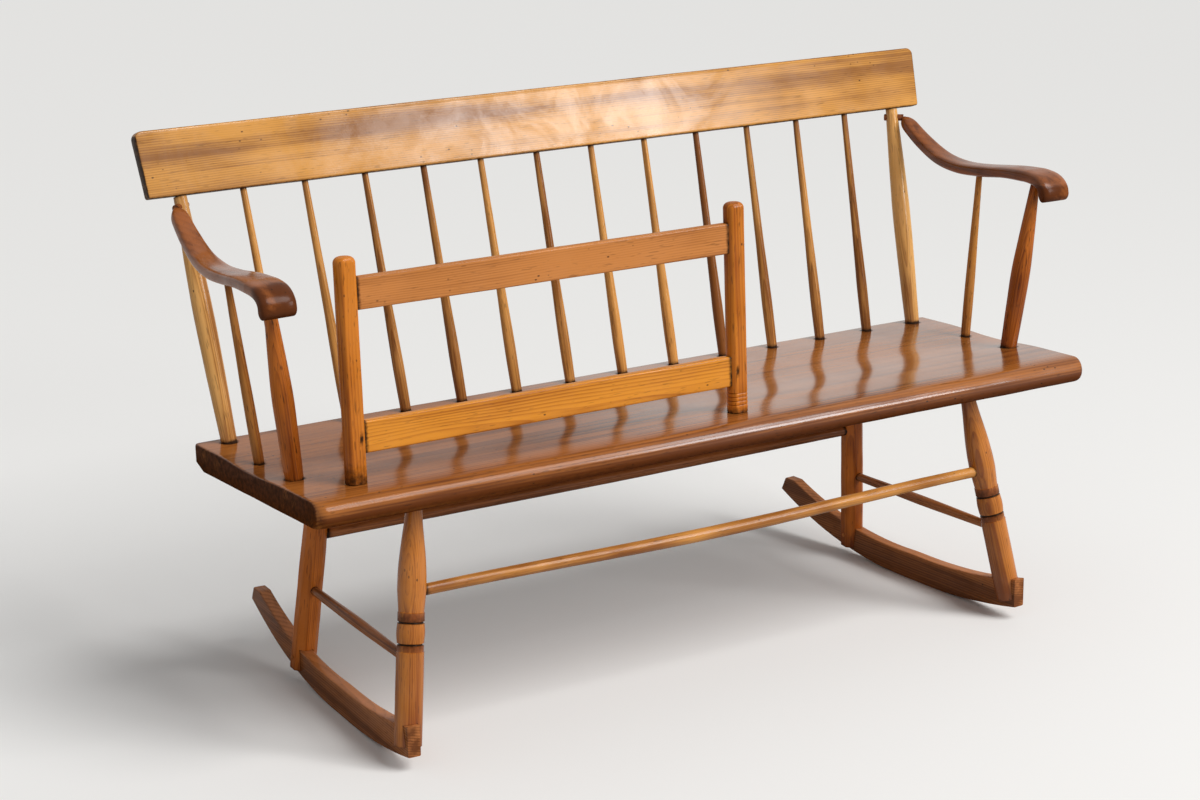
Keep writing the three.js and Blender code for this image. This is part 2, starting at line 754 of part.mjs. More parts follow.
// A back leg, shaved to eight flats and drawn in to a round end for its socket.
function rearLeg(side) {
  const radii = [
    [0, rearLegFootRadius],
    [rearLegMiddleShare, rearLegMiddleRadius],
    [rearLegMeanShare, (rearLegMiddleRadius + rearLegHeadRadius) / 2],
    [1, rearLegHeadRadius],
  ];
  return legAt(side, rearLegPlace, radii, shavedSides, rearLegSteps);
}

// The pin that holds a leg astride its rocker, a little below the rocker's upper edge.
function rockerPin(side, leg, radius) {
  const frame = rockerFrame(side);
  const foot = pointOn(leg, 0).applyMatrix4(frame.clone().invert());
  const centre = pointAtHeight(leg, rockerTop(foot.y).y - pinDrop);
  const axis = across.clone().transformDirection(frame);
  const half = radius > pinRadius ? frontLegRadius + cutOverrun : frontLegRadius - fitGap;
  const from = centre.clone().addScaledVector(axis, -half);
  const to = centre.clone().addScaledVector(axis, half);
  return rod(from, to, radius, pinSides);
}

// Stretchers: each ends on the axes of the two legs that it joins

function stretcher(from, to, endRadius, middleRadius, legRadius) {
  const inLeg = legRadius / from.distanceTo(to);
  const mean = (endRadius + middleRadius) / 2;
  const radii = [
    [0, endRadius],
    [inLeg, endRadius],
    [stretcherMeanShares[0], mean],
    [1 / 2, middleRadius],
    [stretcherMeanShares[1], mean],
    [1 - inLeg, endRadius],
    [1, endRadius],
  ];
  const made = stick(from, to, 0, 0, radii, spindleSides, 1);
  made.outline = radii.map(([share, radius]) => [share * made.length, radius]);
  made.footSocket = legRadius;
  made.headSocket = legRadius;
  return made;
}

// A long stretcher that has sagged with age: its middle lies lower than its ends.
function sagging(made, sag) {
  const geometry = turned(refined(made.outline, longStretcherParts), made.sides);
  const down = up.clone().negate().transformDirection(made.frame.clone().invert());
  const position = geometry.getAttribute("position");
  const point = new THREE.Vector3();
  for (let i = 0; i < position.count; i++) {
    point.fromBufferAttribute(position, i);
    const body = made.length - made.footSocket - made.headSocket;
    const share = THREE.MathUtils.clamp((point.z - made.footSocket) / body, 0, 1);
    point.addScaledVector(down, sag * Math.sin(Math.PI * share) ** 2);
    position.setXYZ(i, ...point.toArray());
  }
  return geometry;
}

// The same outline with its long stretches divided, so that it can bend.
function refined(outline, parts) {
  const whole = outline.at(-1)[0];
  return outline.flatMap(([height, radius], i) => {
    if (i === 0) return [[height, radius]];
    const [lastHeight, lastRadius] = outline[i - 1];
    const pieces = Math.max(1, Math.round(((height - lastHeight) / whole) * parts));
    return Array.from({ length: pieces }, (_, piece) => {
      const share = (piece + 1) / pieces;
      return [lastHeight + share * (height - lastHeight), lastRadius + share * (radius - lastRadius)];
    });
  });
}

// Guard, drawn in the frame of the seat so that its posts stand square on the plank

const guardPostPlaces = { left: guardLeftX, right: guardRightX };
const guardRailBases = { lower: guardLowerRailBase, upper: guardUpperRailBase };
const guardSpan = guardRightX - guardLeftX;

function guardPostFrame(x) {
  return new THREE.Matrix4().makeTranslation(x, guardSetback, fitGap);
}

function guardPostBlank() {
  const dome = domeShares.map((share) => [
    guardPostHeight - guardPostDome * (1 - share),
    guardPostRadius * Math.sqrt(1 - domeFallShare * share ** 2),
  ]);
  const outline = [
    [-guardPegLength, guardPegRadius],
    [0, guardPegRadius],
    [0, guardPostRadius],
    [guardPostHeight - guardPostDome, guardPostRadius],
    ...dome,
  ];
  const tall = guardPostHeight + guardPegLength + 2 * cutOverrun;
  const wide = 2 * (guardPostRadius + cutOverrun);
  const planed = new THREE.BoxGeometry(wide, 2 * guardPostFlat, tall);
  planed.translate(0, 0, guardPostHeight / 2);
  return commonPart(turned(outline, legSides), planed);
}

function guardPegSocket(x) {
  const radius = guardPegRadius + fitGap;
  const outline = [[-guardPegLength - fitGap, radius], [cutOverrun, radius]];
  return turned(outline, pegSides).applyMatrix4(seatFrame.clone().multiply(guardPostFrame(x)));
}

// A rail with its housed ends and tenons; grow makes the mortises that take them.
function guardRail(base, grow = 0) {
  const housed = guardSpan - 2 * guardPostRadius + 2 * (guardRailHousing + grow);
  const long = housed + 2 * guardTenonLength;
  const [thick, tall] = [guardRailThickness + 2 * grow, guardRailHeight + 2 * grow];
  const body = plankAcross(roundedRectangle(thick, tall, guardRailRound), housed);
  const tenonHeight = tall - 2 * guardTenonShoulder;
  const tenon = new THREE.BoxGeometry(long, guardTenonThickness + 2 * grow, tenonHeight);
  const rail = asGeometry(asSolid(body).add(asSolid(tenon)));
  const middle = (guardLeftX + guardRightX) / 2;
  return rail.translate(middle, guardSetback, base + guardRailHeight / 2);
}

// A peg from the front face of a guard post through the tenon of a rail.
function guardPin(x, base, radius) {
  const towardRail = Math.sign((guardLeftX + guardRightX) / 2 - x);
  const at = x + towardRail * (guardRailHousing + guardPinRadius);
  const height = base + guardRailHeight / 2;
  const front = radius > guardPinRadius ? guardPostFlat + cutOverrun : guardPostFlat - fitGap;
  const back = radius > guardPinRadius ? guardTenonThickness : guardTenonThickness - fitGap;
  const from = new THREE.Vector3(at, guardSetback - front, height);
  const to = new THREE.Vector3(at, guardSetback + back, height);
  return rod(from, to, radius, pinSides);
}

// Pieces

const wood = {
  seat: [0x8f5226, 0.3],
  crest: [0xb07d40, 0.32],
  stick: [0xa8742f, 0.38],
  arm: [0x6c3d20, 0.34],
  armPost: [0x94561f, 0.38],
  leg: [0x9b5b28, 0.36],
  rocker: [0x81492a, 0.42],
  guardPost: [0x9c5c26, 0.36],
  upperRail: [0xa3663a, 0.4],
  lowerRail: [0xb06a24, 0.4],
  pin: [0x3a2416, 0.6],
};

function addStick(name, made, look, cuts = []) {
  const geometry = worked(turned(made.outline, made.sides), made.frame, cuts);
  addPiece(bench, name, geometry, made.frame, ...look);
}

const spindles = Array.from({ length: spindleCount }, (_, i) => spindle(i + 1));
const backPosts = Object.values(ends).map(backPost);
const armPosts = Object.values(ends).map(armPost);
const armSpindles = Object.values(ends).map(armSpindle);
const legs = Object.values(ends).flatMap((side) => [frontLeg(side), rearLeg(side)]);

function addSeat() {
  const standing = [...spindles, ...backPosts, ...armPosts, ...armSpindles].map(footSocketOf);
  const pegs = Object.values(guardPostPlaces).map(guardPegSocket);
  const cuts = [...standing, ...legs.map(headSocketOf), ...pegs];
  addPiece(bench, "seat", worked(seatBlank(), seatFrame, cuts), seatFrame, ...wood.seat);
}

function addBack() {
  const cuts = [...spindles, ...backPosts].map(headSocketOf);
  addPiece(bench, "crest_rail", worked(crestBlank(), crestFrame(), cuts), crestFrame(), ...wood.crest);
  spindles.forEach((made, i) => {
    addStick("spindle_" + String(i + 1).padStart(2, "0"), made, wood.stick);
  });
}

function addArmEnd(end, side) {
  const post = backPost(side);
  addStick("back_post_" + end, post, wood.stick, [armTenon(side, fitGap)]);
  addStick("arm_post_" + end, armPost(side), wood.armPost);
  addStick("arm_spindle_" + end, armSpindle(side), wood.armPost);
  const grown = post.outline.map(([height, radius]) => [height, radius + fitGap]);
  const postCutter = turned(grown, post.sides).applyMatrix4(post.frame);
  const board = asSolid(armBoard(side)).subtract(asSolid(postCutter));
  const joined = board.add(asSolid(armTenon(side)));
  const sockets = [headSocketOf(armPost(side)), headSocketOf(armSpindle(side))];
  const still = new THREE.Matrix4();
  const arm = worked(asGeometry(joined), still, sockets);
  const bend = armBend(side);
  arm.translate(-bend.x, -bend.y, -bend.z);
  addPiece(bench, "arm_" + end, arm, new THREE.Matrix4().setPosition(bend), ...wood.arm);
}

const legsBySide = (side) => [["front", frontLeg(side)], ["rear", rearLeg(side)]];

function sideStretcher(side) {
  const from = pointAtHeight(frontLeg(side), sideStretcherHeight);
  const to = pointAtHeight(rearLeg(side), sideStretcherHeight);
  return stretcher(from, to, sideStretcherEndRadius, sideStretcherRadius, frontLegRadius);
}

function longStretcher(leg, height) {
  const from = pointAtHeight(leg(ends.left), height);
  const to = pointAtHeight(leg(ends.right), height);
  return stretcher(from, to, longStretcherEndRadius, longStretcherRadius, frontLegRadius);
}

const frontStretcher = longStretcher(frontLeg, seatFrontHeight - frontStretcherDrop);
const rearStretcher = longStretcher(rearLeg, seatFrontHeight - rearStretcherDrop);

function addUndercarriage(end, side) {
  const low = sideStretcher(side);
  const longSocket = side < 0 ? footSocketOf : headSocketOf;
  const sockets = {
    front: [footSocketOf(low), longSocket(frontStretcher)],
    rear: [headSocketOf(low), longSocket(rearStretcher)],
  };
  const pinHoles = [];
  for (const [place, leg] of legsBySide(side)) {
    const hole = rockerPin(side, leg, pinRadius + fitGap);
    pinHoles.push(hole);
    addStick(place + "_leg_" + end, leg, wood.leg, [rockerSlot(side), hole, ...sockets[place]]);
    const pin = rockerPin(side, leg, pinRadius);
    addPiece(bench, "rocker_pin_" + place + "_" + end, pin, new THREE.Matrix4(), ...wood.pin);
  }
  addStick("side_stretcher_" + end, low, wood.rocker);
  const blank = plankAcross(rockerOutline(), rockerThickness, rockerEase);
  const rocker = worked(blank, rockerFrame(side), pinHoles);
  addPiece(bench, "rocker_" + end, rocker, rockerFrame(side), ...wood.rocker);
}

function addLongStretchers() {
  const front = sagging(frontStretcher, frontStretcherSag);
  addPiece(bench, "front_stretcher", front, frontStretcher.frame, ...wood.stick);
  addStick("rear_stretcher", rearStretcher, wood.stick);
}

function addGuard() {
  const guard = new THREE.Group();
  seatFrame.decompose(guard.position, guard.quaternion, guard.scale);
  bench.add(guard);
  const bases = Object.values(guardRailBases);
  const xs = Object.values(guardPostPlaces);
  const still = new THREE.Matrix4();
  for (const [end, x] of Object.entries(guardPostPlaces)) {
    const mortises = bases.map((base) => guardRail(base, fitGap));
    const holes = bases.map((base) => guardPin(x, base, guardPinRadius + fitGap));
    const frame = guardPostFrame(x);
    const post = worked(guardPostBlank(), frame, [...mortises, ...holes]);
    addPiece(guard, "guard_post_" + end, post, frame, ...wood.guardPost);
    for (const [level, base] of Object.entries(guardRailBases)) {
      const pin = guardPin(x, base, guardPinRadius);
      addPiece(guard, "guard_pin_" + level + "_" + end, pin, still, ...wood.pin);
    }
  }
  for (const [level, base] of Object.entries(guardRailBases)) {
    const holes = xs.map((x) => guardPin(x, base, guardPinRadius + fitGap));
    const rail = worked(guardRail(base), still, holes);
    addPiece(guard, "guard_rail_" + level, rail, still, ...wood[level + "Rail"]);
  }
}

addSeat();
addBack();
for (const [end, side] of Object.entries(ends)) {
  addArmEnd(end, side);
  addUndercarriage(end, side);
}
addLongStretchers();
addGuard();

// The origin lies on the floor, under the middle of the bench's own box.
const box = new THREE.Box3().setFromObject(bench);
bench.position.y = -(box.min.y + box.max.y) / 2;

export default bench;
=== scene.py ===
"""Dresses a plank-seated rocking bench in varnished wood that shows its wear, and sets it on a pale
floor.
"""

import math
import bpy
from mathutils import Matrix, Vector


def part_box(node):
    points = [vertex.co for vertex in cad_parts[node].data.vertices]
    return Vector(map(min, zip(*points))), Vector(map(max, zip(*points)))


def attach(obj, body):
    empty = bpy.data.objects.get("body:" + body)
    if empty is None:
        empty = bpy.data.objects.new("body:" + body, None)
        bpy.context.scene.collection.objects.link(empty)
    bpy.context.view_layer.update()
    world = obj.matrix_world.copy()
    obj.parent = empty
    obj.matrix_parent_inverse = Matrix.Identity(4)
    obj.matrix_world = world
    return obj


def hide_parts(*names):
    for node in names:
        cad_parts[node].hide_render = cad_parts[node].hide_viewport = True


bl_info = {
    "name": "Rocking Bench",
    "version": (1, 0, 0),
    "blender": (4, 5, 0),
    "location": "3D View > Sidebar > Bench",
    "description": "Builds the turned, sawn and planed pieces of a rocking bench with their finishes",
    "category": "Object",
}

import bmesh
import bpy
import numpy as np
from mathutils import Matrix, Vector, noise

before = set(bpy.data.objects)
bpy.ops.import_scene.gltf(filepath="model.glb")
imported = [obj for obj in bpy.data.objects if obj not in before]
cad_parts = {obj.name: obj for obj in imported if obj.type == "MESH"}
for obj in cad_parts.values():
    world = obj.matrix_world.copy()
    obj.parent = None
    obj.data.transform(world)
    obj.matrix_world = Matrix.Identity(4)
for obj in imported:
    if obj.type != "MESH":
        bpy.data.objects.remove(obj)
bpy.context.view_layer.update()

TAU = 2 * math.pi
SIDES = {"left": -1, "right": 1}
SPINDLES = 12
X = Vector((1, 0, 0))
Z = Vector((0, 0, 1))


# Sizes and colours


def length(name, description, default):
    return bpy.props.FloatProperty(
        name=name, description=description, default=default, unit="LENGTH", precision=4
    )


def angle(name, description, degrees):
    return bpy.props.FloatProperty(
        name=name, description=description, default=math.radians(degrees), subtype="ANGLE"
    )


def amount(name, description, default):
    return bpy.props.FloatProperty(name=name, description=description, default=default)


def colour(name, description, default):
    return bpy.props.FloatVectorProperty(
        name=name, description=description, default=default, subtype="COLOR", size=3, min=0, max=1
    )


class SeatSizes(bpy.types.PropertyGroup):
    front_y: length("Front edge", "Y of the front edge of the seat", -0.2904)
    front_height: length("Front height", "Top of the seat above the floor at its front", 0.414)
    tilt: angle("Tilt", "How far the seat falls towards the back", 2.3)
    long: length("Length", "Length of the plank", 1.352)
    deep: length("Depth", "Depth of the plank from front to back", 0.419)
    thick: length("Thickness", "Thickness of the plank", 0.039)
    dish: length("Dish", "How deep the seat is hollowed", 0.004)
    dish_start: length("Dish start", "Where the hollow starts behind the front edge", 0.095)
    dish_long: length("Dish length", "How far the hollow runs", 0.250)
    undercut_run: length("Undercut run", "Bevel under the back edge, along the plank", 0.026)
    undercut_rise: length("Undercut rise", "Bevel under the back edge, upwards", 0.011)
    rear_round: length("Rear rounding", "Rounding of the upper back edge", 0.005)
    front_corner: length("Front corners", "Radius of the front corners in plan", 0.016)
    rear_corner: length("Rear corners", "Radius of the rear corners in plan", 0.008)
    end_ease: length("End easing", "Rounding of the edges of the end grain", 0.003)
    socket: length("Sockets", "Depth of the sockets for sticks and legs", 0.024)


class BackSizes(bpy.types.PropertyGroup):
    setback: length("Setback", "Row of sticks behind the front edge", 0.389)
    rise: length("Rise", "Upright height from the seat to the crest rail", 0.353)
    lean: angle("Lean", "How far the sticks lean back", 14.5)
    post_inset: length("Post inset", "From the end of the seat to the foot of a post", 0.044)
    post_splay: angle("Post splay", "How far the posts lean outwards", 2.9)
    post_foot: length("Post foot", "Radius of a post at the seat", 0.012)
    post_swell: length("Post swell", "Radius of a post at its widest", 0.0146)
    post_head: length("Post head", "Radius of a post at the crest rail", 0.0098)
    post_tenon: length("Post tenon", "Radius of a post inside the crest rail", 0.007)
    spindle_foot: length("Spindle foot", "Radius of a spindle at the seat", 0.0082)
    spindle_swell: length("Spindle swell", "Radius of a spindle at its widest", 0.0087)
    spindle_head: length("Spindle head", "Radius of a spindle at the crest rail", 0.0049)
    crest_tall: length("Crest height", "Height of the crest rail", 0.099)
    crest_thick: length("Crest thickness", "Thickness of the crest rail", 0.019)
    crest_lean: angle("Crest lean", "How far the crest rail leans back", 17)
    crest_overhang: length("Crest overhang", "Crest rail past the post, lower edge", 0.051)
    crest_flare: length("Crest flare", "How much farther each end reaches at the top", 0.006)
    crest_corner: length("Crest corner", "Radius of the upper corners", 0.011)
    crest_ease: length("Crest easing", "Rounding of the long edges", 0.0032)
    crest_socket: length("Crest sockets", "Depth of the sockets in the crest rail", 0.026)


class ArmSizes(bpy.types.PropertyGroup):
    bend_setback: length("Bend setback", "Where the arm starts to curl down", 0.142)
    bend_rise: length("Bend rise", "Middle line at the bend above the seat's front edge", 0.2734)
    bend_out: length("Bend outwards", "Middle line at the bend past the end of the seat", 0.003)
    bend_thick: length("Bend thickness", "Thickness of the arm at the bend", 0.021)
    scroll_reach: length("Scroll reach", "From the bend forward to the end of the scroll", 0.0465)
    scroll_drop: length("Scroll drop", "From the bend down to the end of the scroll", 0.0234)
    scroll_wide: length("Scroll width", "Width of the scroll", 0.054)
    scroll_thick: length("Scroll thickness", "Thickness of the scroll's lower end", 0.024)
    scroll_rim: length("Scroll rims", "Rounding of the sides of the lower end", 0.004)
    thick: length("Thickness", "Thickness of the arm", 0.019)
    tip_wide: length("Tip width", "Width of the arm beside the post", 0.024)
    climb: length("Climb", "From the lowest part of the arm up to its tip", 0.062)
    tip_out: length("Tip outwards", "Tip of the arm outside the axis of the post", 0.015)
    tip_forward: length("Tip forwards", "Tip of the arm in front of the axis of the post", 0.012)
    tenon: length("Tenon", "Radius of the tenon through the post", 0.0056)
    tenon_proud: length("Tenon proud", "Tenon past the radius of the post's head", 0.004)
    post_setback: length("Post setback", "Foot of the arm post behind the front edge", 0.149)
    post_inset: length("Post inset", "Foot of the arm post from the end of the seat", 0.035)
    post_head_setback: length("Post head setback", "Head of the arm post", 0.135)
    post_head_in: length("Post head inwards", "Head of the arm post inside the arm's middle", 0.004)
    post_foot: length("Post foot", "Radius of the arm post at the seat", 0.0132)
    post_swell: length("Post swell", "Radius of the arm post at its widest", 0.0148)
    post_head: length("Post head", "Radius of the arm post at the arm", 0.007)
    stick_setback: length("Stick setback", "Foot of the arm spindle behind the front", 0.261)
    stick_inset: length("Stick inset", "Foot of the arm spindle from the end of the seat", 0.033)
    stick_head_setback: length("Stick head setback", "Head of the arm spindle", 0.272)
    stick_foot: length("Stick foot", "Radius of the arm spindle at the seat", 0.0078)
    stick_swell: length("Stick swell", "Radius of the arm spindle at its widest", 0.0081)
    stick_head: length("Stick head", "Radius of the arm spindle at the arm", 0.005)
    socket: length("Sockets", "Depth of the sockets in the arm", 0.011)


class LegSizes(bpy.types.PropertyGroup):
    front_top_setback: length("Front top setback", "Front leg at the seat", 0.077)
    front_top_inset: length("Front top inset", "Front leg from the end of the seat", 0.182)
    front_foot_setback: length("Front foot setback", "Foot of the front leg", 0.017)
    rear_top_setback: length("Rear top setback", "Rear leg at the seat", 0.373)
    rear_top_inset: length("Rear top inset", "Rear leg from the end of the seat", 0.184)
    rear_foot_setback: length("Rear foot setback", "Foot of the rear leg", 0.405)
    front_foot_rise: length("Front foot rise", "Front leg above the rocker's underside", 0.0136)
    rear_foot_rise: length("Rear foot rise", "Rear leg above the rocker's underside", 0.005)
    barrel: length("Barrel", "Radius of the plain foot of the front leg", 0.020)
    vase: length("Vase", "Radius of the front leg at its widest", 0.0208)
    neck: length("Neck", "Radius of the front leg at the seat", 0.0118)
    groove: length("Groove depth", "Depth of the two turned grooves", 0.0022)
    groove_half: length("Groove half width", "Half the width of a groove", 0.0016)
    lower_groove: length("Lower groove", "Height of the lower groove up the leg", 0.144)
    upper_groove: length("Upper groove", "Height of the upper groove up the leg", 0.175)
    band: length("Band", "Height of the band under the lower groove", 0.010)
    collar: length("Collar", "Height of the collar over the upper groove", 0.014)
    step: length("Step", "Depth of the small turned steps", 0.0008)
    vase_height: length("Vase height", "Widest part of the vase up the leg", 0.220)
    rear_foot: length("Rear leg foot", "Radius of the rear leg at its foot", 0.020)
    rear_middle: length("Rear leg middle", "Radius of the rear leg in its middle", 0.0196)
    rear_head: length("Rear leg head", "Radius of the rear leg at the seat", 0.014)


class RockerSizes(bpy.types.PropertyGroup):
    x: length("Place", "Middle plane of a rocker where it bears on the floor", 0.533)
    toe: angle("Toe", "How far the rockers close in towards the back", 3.4)
    thick: length("Thickness", "Thickness of the plank", 0.020)
    deep: length("Depth", "Depth of the plank", 0.046)
    tail_deep: length("Tail depth", "Depth of the plank at its tail", 0.035)
    front: length("Front end", "Setback of the front end", -0.005)
    tail: length("Tail end", "Setback of the tail end", 0.586)
    touch: length("Touch", "Setback of the middle of the flat on the floor", 0.238)
    flat: length("Flat", "Length of the flat on the floor", 0.060)
    front_radius: length("Front radius", "Radius of the front part of the curve", 1.0)
    rear_radius: length("Rear radius", "Radius of the rear part of the curve", 0.735)
    ease: length("Easing", "Rounding of the long edges", 0.0022)
    tail_cut: length("Tail cut", "Length of the end cut below its clipped corner", 0.026)


class StretcherSizes(bpy.types.PropertyGroup):
    side_height: length("Side height", "Height of the side stretchers", 0.148)
    side_end: length("Side ends", "Radius of a side stretcher at its ends", 0.0068)
    side_middle: length("Side middle", "Radius of a side stretcher in its middle", 0.0084)
    front_height: length("Front height", "Height of the front stretcher", 0.243)
    rear_height: length("Rear height", "Height of the rear stretcher", 0.232)
    long_end: length("Long ends", "Radius of the long stretchers at their ends", 0.0086)
    long_middle: length("Long middle", "Radius of the long stretchers in the middle", 0.010)
    sag: length("Sag", "How far the front stretcher has sunk in its middle", 0.007)


class GuardSizes(bpy.types.PropertyGroup):
    setback: length("Setback", "Guard behind the front edge of the seat", 0.070)
    left_x: length("Left post", "X of the left post", -0.585)
    right_x: length("Right post", "X of the right post", 0.050)
    post_tall: length("Post height", "Height of the posts above the seat", 0.316)
    post_radius: length("Post radius", "Radius of the posts", 0.0155)
    post_flat: length("Post flats", "From the axis to the planed faces", 0.0126)
    post_dome: length("Post dome", "Height of the rounded top", 0.009)
    peg_radius: length("Peg radius", "Radius of the pegs in the seat", 0.008)
    peg_long: length("Peg length", "Length of the pegs in the seat", 0.024)
    rail_tall: length("Rail height", "Height of the rails", 0.046)
    rail_thick: length("Rail thickness", "Thickness of the rails", 0.015)
    rail_round: length("Rail rounding", "Rounding of the edges of the rails", 0.003)
    lower_base: length("Lower rail", "Underside of the lower rail above the seat", 0.041)
    upper_base: length("Upper rail", "Underside of the upper rail above the seat", 0.241)
    housing: length("Housing", "How far a rail goes into its post", 0.004)
    clearance: length("Clearance", "Clearance of the pegs and of the rockers", 0.0003)


class WoodColours(bpy.types.PropertyGroup):
    seat_pale: colour("Seat, pale", "Pale figure of the seat", (0.37, 0.122, 0.023))
    seat_deep: colour("Seat, deep", "Deep figure of the seat", (0.13, 0.033, 0.006))
    crest_pale: colour("Crest, pale", "Pale figure of the crest rail", (0.66, 0.308, 0.066))
    crest_deep: colour("Crest, deep", "Deep figure of the crest rail", (0.28, 0.112, 0.029))
    post_pale: colour("Back posts, pale", "Pale figure of the back posts", (0.80, 0.42, 0.125))
    post_deep: colour("Back posts, deep", "Deep figure of the back posts", (0.31, 0.115, 0.024))
    stick_pale: colour("Sticks, pale", "Pale figure of the sticks", (0.64, 0.3, 0.076))
    stick_deep: colour("Sticks, deep", "Deep figure of the sticks", (0.21, 0.07, 0.014))
    arm_pale: colour("Arms, pale", "Pale figure of the arms", (0.31, 0.092, 0.022))
    arm_deep: colour("Arms, deep", "Deep figure of the arms", (0.1, 0.026, 0.006))
    prop_pale: colour("Arm posts, pale", "Pale figure of the arm posts", (0.52, 0.145, 0.017))
    prop_deep: colour("Arm posts, deep", "Deep figure of the arm posts", (0.17, 0.036, 0.005))
    thin_pale: colour("Arm spindles, pale", "Pale figure of the arm spindles", (0.52, 0.215, 0.045))
    thin_deep: colour("Arm spindles, deep", "Deep figure of the arm spindles", (0.19, 0.055, 0.010))
    leg_pale: colour("Legs, pale", "Pale figure of the legs", (0.55, 0.185, 0.026))
    leg_deep: colour("Legs, deep", "Deep figure of the legs", (0.23, 0.056, 0.007))
    rear_pale: colour("Rear legs, pale", "Pale figure of the rear legs", (0.62, 0.175, 0.024))
    rear_deep: colour("Rear legs, deep", "Deep figure of the rear legs", (0.2, 0.042, 0.006))
    long_pale: colour("Front stretcher, pale", "Pale figure of the front stretcher", (0.62, 0.27, 0.06))
    long_deep: colour("Front stretcher, deep", "Deep figure of the front stretcher", (0.24, 0.075, 0.014))
    rocker_pale: colour("Rockers, pale", "Pale figure of the rockers", (0.5, 0.18, 0.055))
    rocker_deep: colour("Rockers, deep", "Deep figure of the rockers", (0.15, 0.046, 0.013))
    guard_pale: colour("Guard posts, pale", "Pale figure of the guard posts", (0.62, 0.195, 0.02))
    guard_deep: colour("Guard posts, deep", "Deep figure of the guard posts", (0.29, 0.068, 0.007))
    upper_pale: colour("Upper rail, pale", "Pale figure of the upper rail", (0.57, 0.215, 0.056))
    upper_deep: colour("Upper rail, deep", "Deep figure of the upper rail", (0.27, 0.084, 0.017))
    lower_pale: colour("Lower rail, pale", "Pale figure of the lower rail", (0.72, 0.275, 0.028))
    lower_deep: colour("Lower rail, deep", "Deep figure of the lower rail", (0.33, 0.088, 0.008))
    # Besides old dirt, this colour paints shade under the seat and the scroll curls, and on the ends of
    # the seat and the crest rail
    grime: colour("Grime", "Old dirt and finish in the joints", (0.030, 0.012, 0.005))
    floor: colour("Floor", "Plain floor", (0.87, 0.86, 0.84))


class StageSizes(bpy.types.PropertyGroup):
    camera_x: length("Camera X", "Place of the camera", -2.119)
    camera_y: length("Camera Y", "Place of the camera", -3.3474)
    camera_z: length("Camera Z", "Place of the camera", 1.508)
    yaw: angle("Yaw", "Turn of the camera from the back of the bench to its right end", 31.66)
    pitch: angle("Pitch", "How far the camera looks down", 15.82)
    roll: angle("Roll", "Tilt of the camera about its own line of sight", -0.67)
    lens: amount("Lens", "Focal length in millimetres on a 36 mm wide frame", 79.5)
    sky: amount("Sky", "Strength of the light from all round", 0.36)
    lamp: amount("Lamp", "Strength of the soft lamp", 2.2)
    lamp_height: angle("Lamp elevation", "How high the lamp stands, seen from the bench", 48)
    lamp_turn: angle("Lamp turn", "How far the lamp stands to the right of the front", 30)
    lamp_wide: angle("Lamp width", "How wide the lamp looks from the bench", 34)
    box: amount("Softbox", "Power of the softbox, in watts", 58)
    box_turn: angle("Softbox turn", "How far the softbox stands to the right of the front", 35)
    box_height: angle("Softbox elevation", "How high the softbox stands, seen from the bench", 19)
    box_away: length("Softbox distance", "From the bench to the softbox", 4.5)
    box_wide: length("Softbox width", "Width of the softbox", 1.2)
    box_tall: length("Softbox height", "Height of the softbox itself", 1.1)


GROUPS = {
    "bench_seat": SeatSizes,
    "bench_back": BackSizes,
    "bench_arm": ArmSizes,
    "bench_leg": LegSizes,
    "bench_rocker": RockerSizes,
    "bench_stretcher": StretcherSizes,
    "bench_guard": GuardSizes,
    "bench_colours": WoodColours,
    "bench_stage": StageSizes,
}


# Surfaces


class Amount:
    """A number that varies over a surface. Sums, products and powers on it add Math nodes."""

    def __init__(self, finish, socket):
        self.finish = finish
        self.socket = socket

    def joined(self, operation, *values):
        values = dict(enumerate(values))
        node = self.finish.node("ShaderNodeMath", {"operation": operation}, values)
        return Amount(self.finish, node.outputs[0])

    def __add__(self, other):
        return self.joined("ADD", self, other)

    def __sub__(self, other):
        return self.joined("SUBTRACT", self, other)

    def __rsub__(self, other):
        return self.joined("SUBTRACT", other, self)

    def __mul__(self, other):
        return self.joined("MULTIPLY", self, other)

    def __pow__(self, other):
        return self.joined("POWER", self, other)

    __radd__ = __add__
    __rmul__ = __mul__

    def part(self):
        """The number less its whole part."""
        return self.joined("FRACT", self)

    def between(self, low, high):
        """0 below low, 1 above high and a soft step between; high may be the lower one."""
        settings = {"interpolation_type": "SMOOTHSTEP"}
        values = {"Value": self, "From Min": low, "From Max": high}
        node = self.finish.node("ShaderNodeMapRange", settings, values)
        return Amount(self.finish, node.outputs["Result"])


